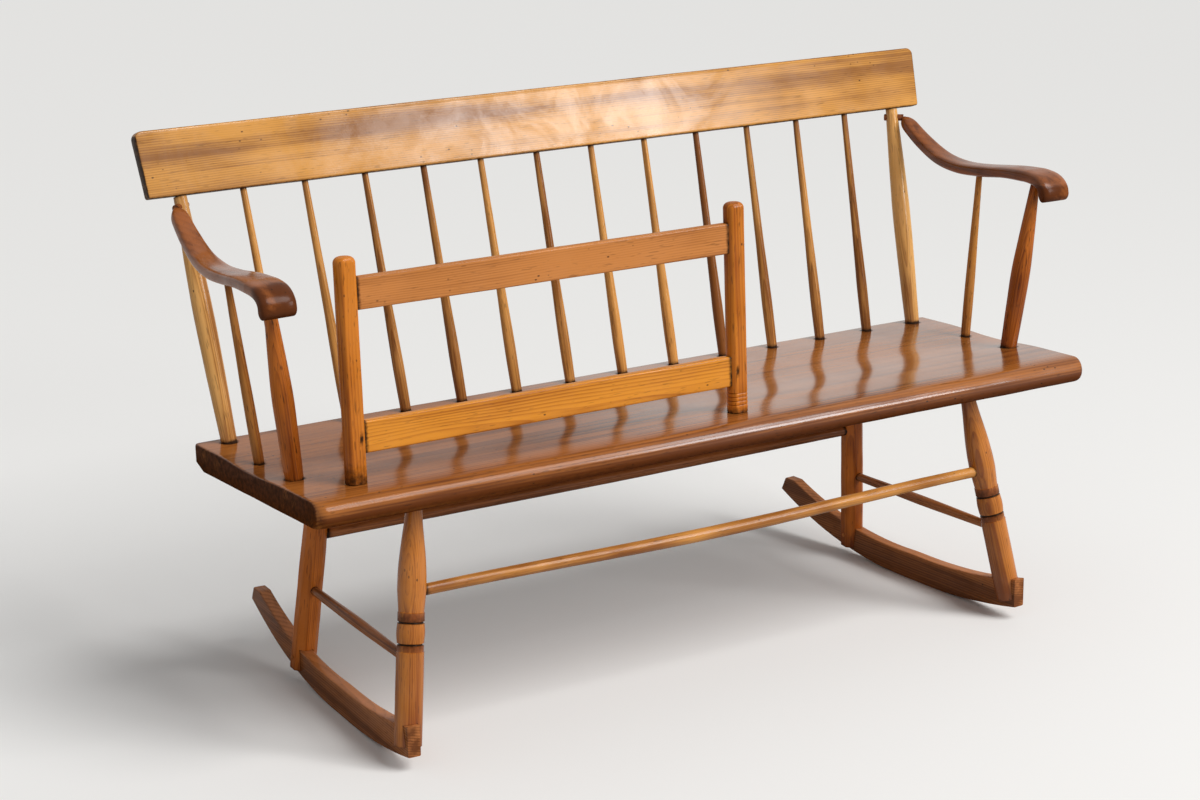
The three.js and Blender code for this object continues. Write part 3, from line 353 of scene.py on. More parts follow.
class Finish:
    """Builds the nodes of a material, or of the world."""

    def __init__(self, owner):
        self.owner = owner
        owner.use_nodes = True
        self.tree = owner.node_tree
        self.tree.nodes.clear()

    def node(self, kind, settings=None, values=None):
        """Adds a node: its settings first, then the numbers and links of its sockets."""
        made = self.tree.nodes.new(kind)
        for key, value in (settings or {}).items():
            setattr(made, key, value)
        for key, value in (values or {}).items():
            socket = made.inputs[key]
            if isinstance(value, Amount):
                value = value.socket
            if isinstance(value, bpy.types.NodeSocket):
                self.tree.links.new(value, socket)
            elif isinstance(value, (tuple, list)) and len(value) == 3 and socket.type == "RGBA":
                socket.default_value = (*value, 1)
            else:
                socket.default_value = value
        return made

    def mark(self, name):
        """A number that the mesh carries at each of its points."""
        node = self.node("ShaderNodeAttribute", {"attribute_name": name})
        return Amount(self, node.outputs["Fac"])

    def vector(self, x, y, z):
        return self.node("ShaderNodeCombineXYZ", None, {0: x, 1: y, 2: z}).outputs[0]

    def cloud(self, vector, scale, detail=2.0, rough=0.5, twist=0.0):
        values = {"Vector": vector, "Scale": scale, "Detail": detail}
        values |= {"Roughness": rough, "Distortion": twist}
        node = self.node("ShaderNodeTexNoise", None, values)
        return Amount(self, node.outputs["Fac"])

    def grain(self, place, across, along, detail=2.0, rough=0.5):
        """A cloud drawn out along the grain: across and along are its scales in the two ways."""
        a, b, c = place
        return self.cloud(self.vector(a * across, b * across, c * along), 1.0, detail, rough)

    def specks(self, vector, scale):
        """Distance to the nearest of many scattered points."""
        node = self.node("ShaderNodeTexVoronoi", None, {"Vector": vector, "Scale": scale})
        return Amount(self, node.outputs["Distance"])

    def mix(self, factor, first, second):
        node = self.node("ShaderNodeMix", {"data_type": "RGBA"}, {0: factor, 6: first, 7: second})
        return node.outputs[2]

    def close(self, values):
        """Ends a material in one surface with the given inputs."""
        surface = self.node("ShaderNodeBsdfPrincipled", None, values)
        self.node("ShaderNodeOutputMaterial", None, {"Surface": surface.outputs[0]})
        return self.owner


# Which coordinates run across the grain, twice, and along it
GRAIN_ORDER = {"X": (1, 2, 0), "Y": (0, 2, 1), "Z": (0, 1, 2)}
# How far the grain is moved on for a lot of 1, so that pieces of one wood differ in their figure
LOT_SHIFT = (0.37, 0.23, 3.1)
# How much lighter than its pale figure the wood is where hands have rubbed it, and where a highlight is
# painted
RUBBED_AND_HIGHLIT = 1.15
BUMP_STRENGTH = 0.3
BUMP_DEPTH = 0.0008


def wood(
    name,
    along,
    pale,
    deep,
    grime,
    rings=260,
    pith=(0.03, 0.05),
    ring_depth=0.35,
    streaks=0.5,
    flecks=0.35,
    mottle=0.35,
    rough=0.3,
    coat=0.5,
    coat_rough=0.2,
    coat_ior=1.42,
    even=0.45,
    wander=0.03,
    dents=0.4,
    pits=0.85,
):
    """Worn and varnished wood whose grain runs along the given axis of the piece.

    rings is the count of growth rings in a metre, pith how far off their middle lies, wander how
    far they stray, and even the share of the gloss that is the same all over.
    """
    f = Finish(bpy.data.materials.new(name))
    place = f.node("ShaderNodeTexCoord").outputs["Object"]
    parts = f.node("ShaderNodeSeparateXYZ", None, {0: place}).outputs
    lot = f.mark("lot")
    spot = [Amount(f, parts[axis]) for axis in GRAIN_ORDER[along]]
    near, high = spot[:2]
    spot = [part + lot * shift for part, shift in zip(spot, LOT_SHIFT)]

    # Growth rings about a far-off pith, bent by slow waves along the plank
    bend = f.grain(spot, across=4, along=0.9, detail=3.0, rough=0.55) - 0.5
    drift = f.grain(spot, across=22, along=1.6) - 0.5
    reach = ((near + pith[0]) ** 2 + (high + pith[1]) ** 2) ** 0.5
    ring = ((reach + bend * wander + drift * (0.2 * wander)) * rings).part()
    late = ring.between(0.25, 0.92) * ring.between(1.0, 0.92)

    # Figure along the grain, from long streaks down to single fibres
    streak = f.grain(spot, across=70, along=1.7, detail=3.0, rough=0.6).between(0.42, 0.75)
    band = f.grain(spot, across=24, along=0.7).between(0.35, 0.68)
    fibre = f.grain(spot, across=900, along=34, rough=0.6)
    fleck = f.grain(spot, across=420, along=46, detail=1.0).between(0.64, 0.74)
    patch = f.grain(spot, across=7, along=3.5, detail=3.0, rough=0.6).between(0.3, 0.7)

    # The stain mark holds brown stain, and also painted shade on the seat's nose, the scroll curls and
    # the necks of the legs
    stain = f.mark("stain") * (0.55 + 0.9 * band)
    lines = late * ring_depth + streak * streaks + (fibre - 0.5) * 0.4
    depth = lines + (patch - 0.5) * mottle + (band - 0.5) * 0.3 + stain
    tone = f.mix(depth.between(-0.2, 1.05), pale, deep)
    tone = f.mix(fleck * flecks, tone, grime)

    # Small pits, but only in some places
    a, b, c = spot
    pit = f.specks(f.vector(a, b, c * 0.6), 95).between(0.16, 0.06)
    kept = f.cloud(place, 14.0, 1.0).between(0.54, 0.64)
    tone = f.mix(pit * kept * pits, tone, grime)

    # Dirt and painted shade with a ragged edge, and worn places, some of them painted highlights
    dirt_and_shade = f.mark("grime")
    smudge = f.cloud(place, 130.0, 3.0, 0.6)
    edge = dirt_and_shade + (smudge - 0.5) * 0.9 * dirt_and_shade.between(0.02, 0.3)
    tone = f.mix(edge.between(0.15, 0.95), tone, grime)
    rubbed_and_highlit = f.mark("worn") * (0.5 + smudge)
    rubbed_and_highlit_tone = tuple(min(1, RUBBED_AND_HIGHLIT * part) for part in pale)
    tone = f.mix(rubbed_and_highlit.between(0.25, 1.0) * 0.6, tone, rubbed_and_highlit_tone)

    # Smeared gloss, and relief from fibres, rings, knocks and pits
    smear = f.cloud(place, 11.0, 4.0, 0.62)
    gloss = (smear - 0.5) * 0.24 + (fibre - 0.5) * 0.10 + dirt_and_shade * 0.25 + rough
    knocks = f.cloud(place, 38.0, 2.0, 0.5).between(0.62, 0.74)
    lift = fibre * 0.2 + late * 0.12 - knocks * dents - pit * kept * 0.8 + smear * 0.5
    relief = {"Strength": BUMP_STRENGTH, "Distance": BUMP_DEPTH, "Height": lift}
    bump = f.node("ShaderNodeBump", None, relief)

    # The varnish: gone in blotches and where dirt and painted shade lie
    blotch = f.cloud(place, 9.0, 5.0, 0.7, 0.6).between(0.25, 0.7)
    left_over = f.mark("polish") * coat * (even + (1 - even) * blotch)
    lacquer = left_over * (1.0 - 0.6 * edge.between(0.1, 0.8))
    return f.close(
        {
            "Base Color": tone,
            "Roughness": gloss.between(0.0, 1.0),
            "Normal": bump.outputs[0],
            "Specular IOR Level": 0.0,
            "Coat Weight": lacquer,
            "Coat Roughness": coat_rough,
            "Coat IOR": coat_ior,
        }
    )


# What the finishes of the thin sticks share, and those of the legs
THIN = {"rings": 420, "pith": (0.02, 0.03), "mottle": 0.7}
LEG = {"rings": 380, "pith": (0.03, 0.03), "streaks": 0.7}
# Each finish: the axis of its grain, its colours, and what differs from plain wood
FINISHES = {
    "seat_wood": (
        "X",
        "seat",
        {"rings": 210, "pith": (0.02, 0.09), "streaks": 0.7, "flecks": 0.5, "dents": 0.8, "pits": 1.0}
        | {"coat": 1.0, "coat_rough": 0.15, "coat_ior": 2.5, "even": 0.9},
    ),
    "crest_wood": (
        "X",
        "crest",
        {"rings": 300, "pith": (0.04, 0.22), "streaks": 0.6, "flecks": 0.3, "mottle": 0.6}
        | {"coat": 0.85, "coat_ior": 1.6, "even": 0.15},
    ),
    "post_wood": ("Z", "post", THIN | {"flecks": 0.4, "streaks": 0.8, "mottle": 0.6, "coat": 0.8}),
    "stick_wood": ("Z", "stick", THIN | {"flecks": 0.5, "streaks": 0.85, "mottle": 0.6}),
    "arm_wood": (
        "Y",
        "arm",
        {"rings": 120, "ring_depth": 0.16, "flecks": 0.3, "streaks": 0.55, "mottle": 0.6, "coat": 1.0},
    ),
    "arm_post_wood": ("Z", "prop", THIN | {"flecks": 0.8, "streaks": 0.8}),
    "arm_stick_wood": ("Z", "thin", THIN | {"flecks": 0.8}),
    "leg_wood": ("Z", "leg", LEG | {"flecks": 0.4, "mottle": 0.7, "coat": 0.9, "coat_ior": 1.5}),
    "rear_leg_wood": ("Z", "rear", LEG | {"flecks": 0.5, "mottle": 0.8}),
    "rocker_wood": ("Y", "rocker", {"rings": 260, "flecks": 0.4, "rough": 0.36, "coat": 0.4}),
    "long_stretcher_wood": (
        "Z",
        "long",
        {"rings": 380, "ring_depth": 0.2, "flecks": 0.4, "streaks": 0.4, "mottle": 1.1, "coat": 0.8},
    ),
    "stretcher_wood": ("Z", "rocker", {"rings": 380, "flecks": 0.4, "rough": 0.36, "coat": 0.5}),
    "guard_post_wood": ("Z", "guard", {"rings": 330, "flecks": 0.5, "mottle": 0.6}),
    "guard_upper_rail_wood": ("X", "upper", {"rings": 300, "pith": (0.02, 0.06), "streaks": 0.4}),
    "guard_lower_rail_wood": (
        "X",
        "lower",
        {"rings": 240, "pith": (0.03, 0.025), "ring_depth": 0.45, "streaks": 0.4, "wander": 0.06},
    ),
    "peg_wood": ("Z", "rocker", {"rings": 500, "flecks": 0.6, "rough": 0.5, "coat": 0.2}),
}


def finish(name):
    """The material of a finish, made on its first use."""
    title = "worn_" + name
    found = bpy.data.materials.get(title)
    if found:
        return found
    colours = bpy.context.scene.bench_colours
    along, base, details = FINISHES[name]
    pale = tuple(getattr(colours, base + "_pale"))
    deep = tuple(getattr(colours, base + "_deep"))
    return wood(title, along, pale, deep, tuple(colours.grime), **details)


# Meshes

# Blender's noise lies below this at nearly 99 of 100 points
NOISE_PEAK = 0.6
# What a mesh says at each of its points: which plank it is from, dirt and painted shade, brown stain and
# painted shade, wear and painted highlights, and gloss
MARKS = {"lot": 0.0, "grime": 0.0, "stain": 0.0, "worn": 0.0, "polish": 1.0}
# A mesh with fewer faces than this has lost its shape
FEWEST_FACES = 10


def smooth_run(pairs, steps):
    """Points on a smooth curve through the given pairs, evenly spaced from pair to pair."""
    points = np.array(pairs, float)
    last = len(points) - 1
    found = []
    for step in range(steps + 1):
        along = step / steps * last
        i = min(int(along), last - 1)
        t = along - i
        before, here, there = points[max(i - 1, 0)], points[i], points[i + 1]
        after = points[min(i + 2, last)]
        leave, arrive = (there - before) / 2, (after - here) / 2
        cubic = (2 * here - 2 * there + leave + arrive) * t**3
        square = (3 * there - 3 * here - 2 * leave - arrive) * t**2
        found.append(cubic + square + leave * t + here)
    return np.array(found)


def soft_step(value, low, high):
    """0 below low, 1 above high and a soft step between; high may be the lower one."""
    t = np.clip((np.asarray(value, float) - low) / (high - low), 0, 1)
    return t * t * (3 - 2 * t)


def fading(distance, reach):
    """1 up to a distance of 0, and then ever less: about a third at the reach."""
    return np.exp(-np.clip(distance, 0, None) / reach)


def skin(name, rings):
    """A closed mesh over rings of points that all have the same count."""
    rings = np.asarray(rings, float)
    count, sides = rings.shape[:2]
    faces = []
    for ring in range(count - 1):
        for side in range(sides):
            here, there = ring * sides + side, ring * sides + (side + 1) % sides
            faces.append((here, there, there + sides, here + sides))
    faces.append(tuple(range(sides - 1, -1, -1)))
    faces.append(tuple(range((count - 1) * sides, count * sides)))
    mesh = bpy.data.meshes.new(name)
    mesh.from_pydata(rings.reshape(-1, 3).tolist(), [], faces)
    mesh.validate()
    face_outwards(mesh)
    return mesh


def face_outwards(mesh):
    """Turns all faces round where they look into the piece."""
    form = bmesh.new()
    form.from_mesh(mesh)
    if form.calc_volume(signed=True) < 0:
        mesh.flip_normals()
    form.free()


def shade(mesh, degrees):
    """Smooth faces, but sharp edges where they meet at more than the given angle."""
    mesh.shade_smooth()
    mesh.set_sharp_from_angle(angle=math.radians(degrees))


def write_marks(mesh, marks):
    """Writes all marks on the points of a mesh, the usual value for those not given."""
    for key, values in (MARKS | marks).items():
        layer = mesh.attributes.get(key) or mesh.attributes.new(key, "FLOAT", "POINT")
        filled = np.broadcast_to(np.asarray(values, np.float32), (len(mesh.vertices),))
        layer.data.foreach_set("value", filled.copy())


def points_of(mesh):
    flat = np.zeros(len(mesh.vertices) * 3)
    mesh.vertices.foreach_get("co", flat)
    return flat.reshape(-1, 3)


def roughened(mesh, size, scale, seed):
    """Takes a small uneven amount off nearly all of the mesh, as hand tools do."""
    offset = Vector((seed * 7.1, seed * 3.3, seed * 5.7))
    normals = [v.normal.copy() for v in mesh.vertices]
    for vertex, normal in zip(mesh.vertices, normals):
        vertex.co += normal * size * (noise.noise(vertex.co * scale + offset) - NOISE_PEAK)


def worked(mesh, size, scale, seed, degrees=38):
    """Gives a mesh its tool marks and its shading, and returns its points."""
    roughened(mesh, size, scale, seed)
    shade(mesh, degrees)
    return points_of(mesh)


def rounding(x, half, radius):
    """How much a rounded corner takes off at x, on a plank that reaches half its length away."""
    past = max(0.0, abs(x) - half + radius)
    return radius - math.sqrt(max(0, radius**2 - past**2))


def added(name, data, place=None):
    """A new object of the scene, at the given place or else at the origin."""
    thing = bpy.data.objects.new(name, data)
    bpy.context.scene.collection.objects.link(thing)
    if place is not None:
        thing.matrix_world = place
    return thing


def placed(name, mesh, place, finish_name, body, nodes, marks):
    """Makes the piece, gives it its finish, and lets it stand for its CAD nodes."""
    piece = added(name, mesh, place)
    write_marks(mesh, marks)
    mesh.materials.append(finish(finish_name))
    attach(piece, body)
    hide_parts(*nodes)
    return piece


def cut(mesh, cutters, name):
    """The mesh less the cutters, which are meshes in the same frame."""
    blank = added(name, mesh)
    made = []
    for cutter in cutters:
        tool = added(name + "_cutter", cutter)
        modifier = blank.modifiers.new("Cut", "BOOLEAN")
        modifier.operation = "DIFFERENCE"
        modifier.solver = "EXACT"
        modifier.object = tool
        made.append(tool)
    bpy.context.view_layer.update()
    graph = bpy.context.evaluated_depsgraph_get()
    result = bpy.data.meshes.new_from_object(blank.evaluated_get(graph))
    for thing in (blank, *made):
        bpy.data.objects.remove(thing)
    if len(result.polygons) < FEWEST_FACES:
        raise RuntimeError(f"cutting {name} left nothing")
    result.name = name
    return result


def circle(radius, height, sides):
    turn = np.arange(sides) * TAU / sides
    return np.stack([radius * np.cos(turn), radius * np.sin(turn), np.full(sides, height)], 1)


def lathe(name, outline, sides=40):
    """A turned mesh about Z; the outline holds (height, radius)."""
    return skin(name, [circle(radius, height, sides) for height, radius in outline])


def denser(outline, extra, step=0.02):
    """The same outline with more stations: the extra heights, and others less than step apart."""
    heights, radii = np.array(outline, float).T
    wanted = [*heights, *extra]
    for low, high in zip(heights, heights[1:]):
        wanted += list(np.linspace(low, high, int((high - low) / step) + 2))
    wanted = sorted(set(round(float(h), 6) for h in wanted if heights[0] <= h <= heights[-1]))
    return [(h, float(np.interp(h, heights, radii))) for h in wanted]


# Places


def on_seat(x, setback):
    """The point of the seat's top face at a place across it and behind its front edge."""
    s = bpy.context.scene.bench_seat
    return seat_place() @ Vector((x, setback, seat_surface(setback, s)))


def seat_place():
    """The seat's own frame: X along the plank, Y rearwards from its front edge, Z off its face."""
    s = bpy.context.scene.bench_seat
    stand = Matrix.Translation((0, s.front_y, s.front_height))
    return stand @ Matrix.Rotation(-s.tilt, 4, "X")


def seat_surface(setback, s):
    """Height of the dished face in the seat's own frame."""
    along = np.clip((np.asarray(setback) - s.dish_start) / s.dish_long, 0, 1)
    return -s.dish * np.sin(np.pi * along) ** 2


def under_seat(x, setback):
    """The point of the seat's underside at a place across it and behind its front edge."""
    s = bpy.context.scene.bench_seat
    return seat_place() @ Vector((x, setback, -s.thick))


class Stick:
    """A turned piece between two points, with its ends in sockets.

    radii holds (share of the free length, radius) and outline (height, radius).
    """

    def __init__(self, foot, head, foot_socket, head_socket, radii, steps=24):
        self.direction = (head - foot).normalized()
        self.start = foot - self.direction * foot_socket
        self.free = (head - foot).length
        self.long = foot_socket + self.free + head_socket
        self.foot_socket = foot_socket
        self.head_socket = head_socket
        run = smooth_run(radii, steps)
        outline = [(foot_socket + along * self.free, radius) for along, radius in run]
        if foot_socket:
            outline.insert(0, (0, radii[0][1]))
        if head_socket:
            outline.append((self.long, radii[-1][1]))
        self.outline = outline

    def place(self):
        """The stick's own frame: Z up along it from the end in its lower socket."""
        turn = Z.rotation_difference(self.direction)
        return Matrix.Translation(self.start) @ turn.to_matrix().to_4x4()

    def point(self, distance):
        return self.start + self.direction * distance

    def at_height(self, height):
        return self.point((height - self.start.z) / self.direction.z)


# How far dirt spreads along a stick from its foot and its head, and along a rail from a post
FOOT_DIRT = 0.004
HEAD_DIRT = 0.003
# Extra stations that carry the dirt, by their distance from the face that a stick goes into
AT_HEAD = (-0.001, 0.001, 0.003, 0.006, 0.01)
AT_FOOT = (*AT_HEAD, 0.016)
# Makes the darkness of a stick change quickly with its lot
TONE_SPREAD = 5.3
# From one spindle to the next: the golden ratio keeps the lots of all well apart
LOT_STEP = 0.618
# How many sides a thin stick has; thick ones have more
THIN_SIDES = 28


def stick_marks(stick, heights, lot):
    """Dark rings where a stick enters its neighbours, and a browner foot and head."""
    foot = fading(heights - stick.foot_socket, FOOT_DIRT)
    head = fading(stick.long - stick.head_socket - heights, HEAD_DIRT)
    dirt_and_shade = (foot if stick.foot_socket else 0) + 0.8 * (head if stick.head_socket else 0)
    up = (heights - stick.foot_socket) / stick.free
    # Darker towards the foot and towards the head
    darker_foot_and_head = 0.26 * fading(up, 0.2) + 0.3 * soft_step(up, 0.86, 1.0)
    darkness = 0.5 * ((lot * TONE_SPREAD) % 1)
    return {"lot": lot, "grime": dirt_and_shade, "stain": darker_foot_and_head + darkness - 0.06}


def turned_piece(name, stick, finish_name, node, lot, sides=40):
    """A stick as a piece of the bench."""
    ends = [stick.foot_socket + distance for distance in AT_FOOT]
    ends += [stick.long - stick.head_socket - distance for distance in AT_HEAD]
    mesh = lathe(name, denser(stick.outline, ends), sides)
    points = worked(mesh, size=0.0002, scale=26, seed=lot + 1)
    marks = stick_marks(stick, points[:, 2], lot)
    return placed(name, mesh, stick.place(), finish_name, "bench", [node], marks)


def back_stick(share_across, radii):
    """A stick of the back: share_across runs from -1 at the left post to 1 at the right one."""
    seat, back = bpy.context.scene.bench_seat, bpy.context.scene.bench_back
    foot_x = seat.long / 2 - back.post_inset
    head_x = foot_x + back.rise * math.tan(back.post_splay)
    foot = on_seat(share_across * foot_x, back.setback)
    head_y = foot.y + back.rise * math.tan(back.lean)
    head = Vector((share_across * head_x, head_y, foot.z + back.rise))
    return Stick(foot, head, seat.socket, back.crest_socket, radii)


def back_post(side):
    """A post at an end of the back, with a shoulder and a tenon under the crest rail."""
    back = bpy.context.scene.bench_back
    radii = [(0, back.post_foot), (0.35, back.post_swell), (0.6, back.post_swell), (1, back.post_head)]
    post = back_stick(side, radii)
    shoulder = post.long - back.crest_socket
    arris = 0.0006
    tenon = [(shoulder, back.post_tenon), (post.long, back.post_tenon)]
    post.outline = post.outline[:-2] + [(shoulder - arris, back.post_head)] + tenon
    return post


def spindle(number):
    """A spindle of the back, counted from the left from 1."""
    back = bpy.context.scene.bench_back
    middle = (back.spindle_swell + back.spindle_head) / 2
    radii = [(0, back.spindle_foot), (0.2, back.spindle_swell), (0.5, middle), (1, back.spindle_head)]
    return back_stick(2 * number / (SPINDLES + 1) - 1, radii)


# Middle line of the scroll, from its lower end to the bend, as shares of its reach and drop
SCROLL_LINE = ((1, 1), (0.957, 0.66), (0.81, 0.34), (0.56, 0.12), (0.26, 0.03), (0, 0))
# Middle line of the arm, from the bend to the tip, as shares of its length and climb
ARM_LINE = ((0, 0.2), (0.16, 0.16), (0.36, 0.04), (0.53, 0), (0.69, 0.13), (0.85, 0.5), (1, 1))
# Width along the arm: 1 is the width of the scroll and 0 that of the tip
ARM_WIDTH = ((0, 1), (0.12, 0.9), (0.3, 0.72), (0.6, 0.5), (0.85, 0.22), (1, 0))


def arm_bend(side):
    """Where the arm starts to curl down into its scroll."""
    seat, arm = bpy.context.scene.bench_seat, bpy.context.scene.bench_arm
    height = seat.front_height + arm.bend_rise
    return Vector((side * (seat.long / 2 + arm.bend_out), seat.front_y + arm.bend_setback, height))


def arm_tip(side):
    """The middle of the arm's rear end, beside the post."""
    arm = bpy.context.scene.bench_arm
    tip = back_post(side).at_height(arm_bend(side).z + arm.climb * (1 - ARM_LINE[0][1]))
    return tip + Vector((side * arm.tip_out, -arm.tip_forward, 0))


def arm_middle(side, along, climb):
    """A point of the arm's middle line from its shares of the length and the climb."""
    bend, tip = arm_bend(side), arm_tip(side)
    middle = bend.lerp(tip, along)
    middle.z = tip.z - bpy.context.scene.bench_arm.climb * (1 - climb)
    return middle


def arm_stations(side):
    """Middle, width and thickness along an arm, from the lower end of its scroll to its tip."""
    s = bpy.context.scene.bench_arm
    bend = arm_bend(side)
    found = []
    for reach, drop in smooth_run(SCROLL_LINE, 40)[:-1]:
        middle = bend + Vector((0, -reach * s.scroll_reach, -drop * s.scroll_drop))
        thick = s.bend_thick + (s.scroll_thick - s.bend_thick) * drop
        found.append((middle, s.scroll_wide, thick))

    # The rounded lower end of the scroll
    low = found[0][0]
    for part in np.linspace(0.1, 0.97, 12):
        turn = part * math.pi / 2
        middle = low - Z * (s.scroll_thick / 2) * math.sin(turn)
        wide = s.scroll_wide - 2 * s.scroll_rim * (1 - math.cos(turn))
        found.insert(0, (middle, wide, s.scroll_thick * math.cos(turn)))

    # From the bend to the tip, which closes in a quarter round
    thinned_at, closes_at, closing, closed = 0.2, 0.94, 0.06, 0.95
    for along, climb in smooth_run(ARM_LINE, 84):
        along = min(1.0, along)
        wide = s.tip_wide + (s.scroll_wide - s.tip_wide) * np.interp(along, *np.array(ARM_WIDTH).T)
        thick = np.interp(along, [0, thinned_at], [s.bend_thick, s.thick])
        close = math.sqrt(1 - min(max((along - closes_at) / closing, 0), closed) ** 2)
        found.append((arm_middle(side, along, climb), wide * close, thick * close))
    return found


def arm_post(side):
    """The turned post under the front of an arm."""
    seat, arm = bpy.context.scene.bench_seat, bpy.context.scene.bench_arm
    foot = on_seat(side * (seat.long / 2 - arm.post_inset), arm.post_setback)
    head = arm_bend(side) - Vector((side * arm.post_head_in, 0, arm.bend_thick / 2))
    head.y = seat.front_y + arm.post_head_setback
    radii = [(0, arm.post_foot), (0.27, arm.post_swell), (0.52, arm.post_swell), (1, arm.post_head)]
    return Stick(foot, head, seat.socket, arm.socket, radii)


def arm_stick(side):
    """The slim spindle under the middle of an arm."""
    seat, arm = bpy.context.scene.bench_seat, bpy.context.scene.bench_arm
    foot = on_seat(side * (seat.long / 2 - arm.stick_inset), arm.stick_setback)
    bend, tip = arm_bend(side), arm_tip(side)
    along = (seat.front_y + arm.stick_head_setback - bend.y) / (tip.y - bend.y)
    head = arm_middle(side, along, np.interp(along, *np.array(ARM_LINE).T)) - Z * arm.thick / 2
    mean = (arm.stick_swell + arm.stick_head) / 2
    radii = [(0, arm.stick_foot), (0.3, arm.stick_swell), (0.65, mean), (1, arm.stick_head)]
    return Stick(foot, head, seat.socket, arm.socket, radii)


def rocker_slope(setback):
    """How steep the underside of a rocker is at a setback, and the radius of its curve there."""
    r = bpy.context.scene.bench_rocker
    away = np.asarray(setback, float) - r.touch
    past = np.clip(np.abs(away) - r.flat / 2, 0, None)
    radius = np.where(away < 0, r.front_radius, r.rear_radius)
    return np.sign(away) * np.arcsin(past / radius), radius


def rocker_edges(setback, grow=0.0):
    """Lower and upper edge, as (setback, height), square to the curve; grow lifts the upper."""
    r = bpy.context.scene.bench_rocker
    turn, radius = rocker_slope(setback)
    low = radius * (1 - np.cos(turn))
    tail = np.clip((np.asarray(setback) - r.touch) / (r.tail - r.touch), 0, 1)
    depth = r.deep + (r.tail_deep - r.deep) * tail + grow
    return (setback, low), (setback - depth * np.sin(turn), low + depth * np.cos(turn))


def rocker_place(side):
    """The rocker's own frame: X across the plank, Y rearwards from the seat's front, Z up."""
    seat, r = bpy.context.scene.bench_seat, bpy.context.scene.bench_rocker
    turn = Matrix.Rotation(side * r.toe, 4, "Z")
    pivot = Matrix.Translation((side * r.x, seat.front_y + r.touch, 0))
    return pivot @ turn @ Matrix.Translation((0, -r.touch, 0))


def leg(place, side, radii, steps=24):
    """A leg from the rocker up to the seat; place is front or rear."""
    seat, legs = bpy.context.scene.bench_seat, bpy.context.scene.bench_leg
    setback = getattr(legs, place + "_foot_setback")
    height = rocker_edges(setback)[0][1] + getattr(legs, place + "_foot_rise")
    foot = rocker_place(side) @ Vector((0, setback, height))
    inset, setback = getattr(legs, place + "_top_inset"), getattr(legs, place + "_top_setback")
    head = under_seat(side * (seat.long / 2 - inset), setback)
    return Stick(foot, head, 0, seat.socket, radii, steps)


def front_leg(side):
    """A cylinder, two grooves with a bead between, a collar and a long vase."""
    seat, s = bpy.context.scene.bench_seat, bpy.context.scene.bench_leg
    made = leg("front", side, [(0, s.barrel), (1, s.neck)], 1)
    neck = made.long - seat.socket
    low, high, half = s.lower_groove, s.upper_groove, s.groove_half
    inner = s.barrel - s.step
    bead_half = (high - low) / 2 - half
    bead_rise = 1.4 * s.step
    bead_end = 0.92
    bead = [
        ((low + high) / 2 + t * bead_half, inner + bead_rise * math.cos(t * math.pi / 2))
        for t in np.linspace(-bead_end, bead_end, 13)
    ]
    rise_left, taper = neck - s.vase_height, s.vase - s.neck
    shares = [(0, 0), (0.17, 0.04), (0.34, 0.2), (0.52, 0.47), (0.7, 0.76), (0.86, 0.95), (1, 1)]
    vase = [
        (s.vase_height + rise * rise_left, s.vase - loss * taper)
        for rise, loss in smooth_run(shares, 30)
    ]
    collar = high + s.collar

    def groove(at):
        steps = (-1, -0.6, -0.2, 0.2, 0.6, 1)
        return [(at + t * half, inner - s.groove * (1 - t * t) ** 0.5) for t in steps]

    swell = smooth_run([(collar + s.step, s.barrel - 2 * s.step), (s.vase_height, s.vase)], 6)
    made.outline = [
        (0, s.barrel - s.step),
        (s.step, s.barrel),
        (low - s.band - s.step, s.barrel),
        (low - s.band, inner),
        *groove(low),
        *bead,
        *groove(high),
        (collar, inner),
        *[tuple(p) for p in swell],
        *vase[1:],
        (made.long, s.neck),
    ]
    return made


def rear_leg(side):
    """A leg that narrows only near the seat."""
    s = bpy.context.scene.bench_leg
    mean = (s.rear_middle + s.rear_head) / 2
    radii = [(0, s.rear_foot), (0.55, s.rear_middle), (0.8, mean), (1, s.rear_head)]
    return leg("rear", side, radii)


LEGS = {"front": front_leg, "rear": rear_leg}


def stretcher(start, end, end_radius, middle_radius):
    """A stick from the middle of one leg to that of another; the legs hide its ends."""
    mean = (end_radius + middle_radius) / 2
    radii = [(0, end_radius), (0.03, end_radius), (0.25, mean), (0.5, middle_radius)]
    radii += [(0.75, mean), (0.97, end_radius), (1, end_radius)]
    made = Stick(start, end, 0, 0, radii, 36)
    made.foot_socket = made.head_socket = bpy.context.scene.bench_leg.barrel
    return made


# Pieces

# Heights over the seat of the lines scored round the right post of the guard, and their depth
SCORED = (0.012, 0.018, 0.024, 0.030)
SCORE = 0.0012


class Step(bpy.types.Operator):
    """What every step of the work shares"""

    bl_options = {"REGISTER", "UNDO"}


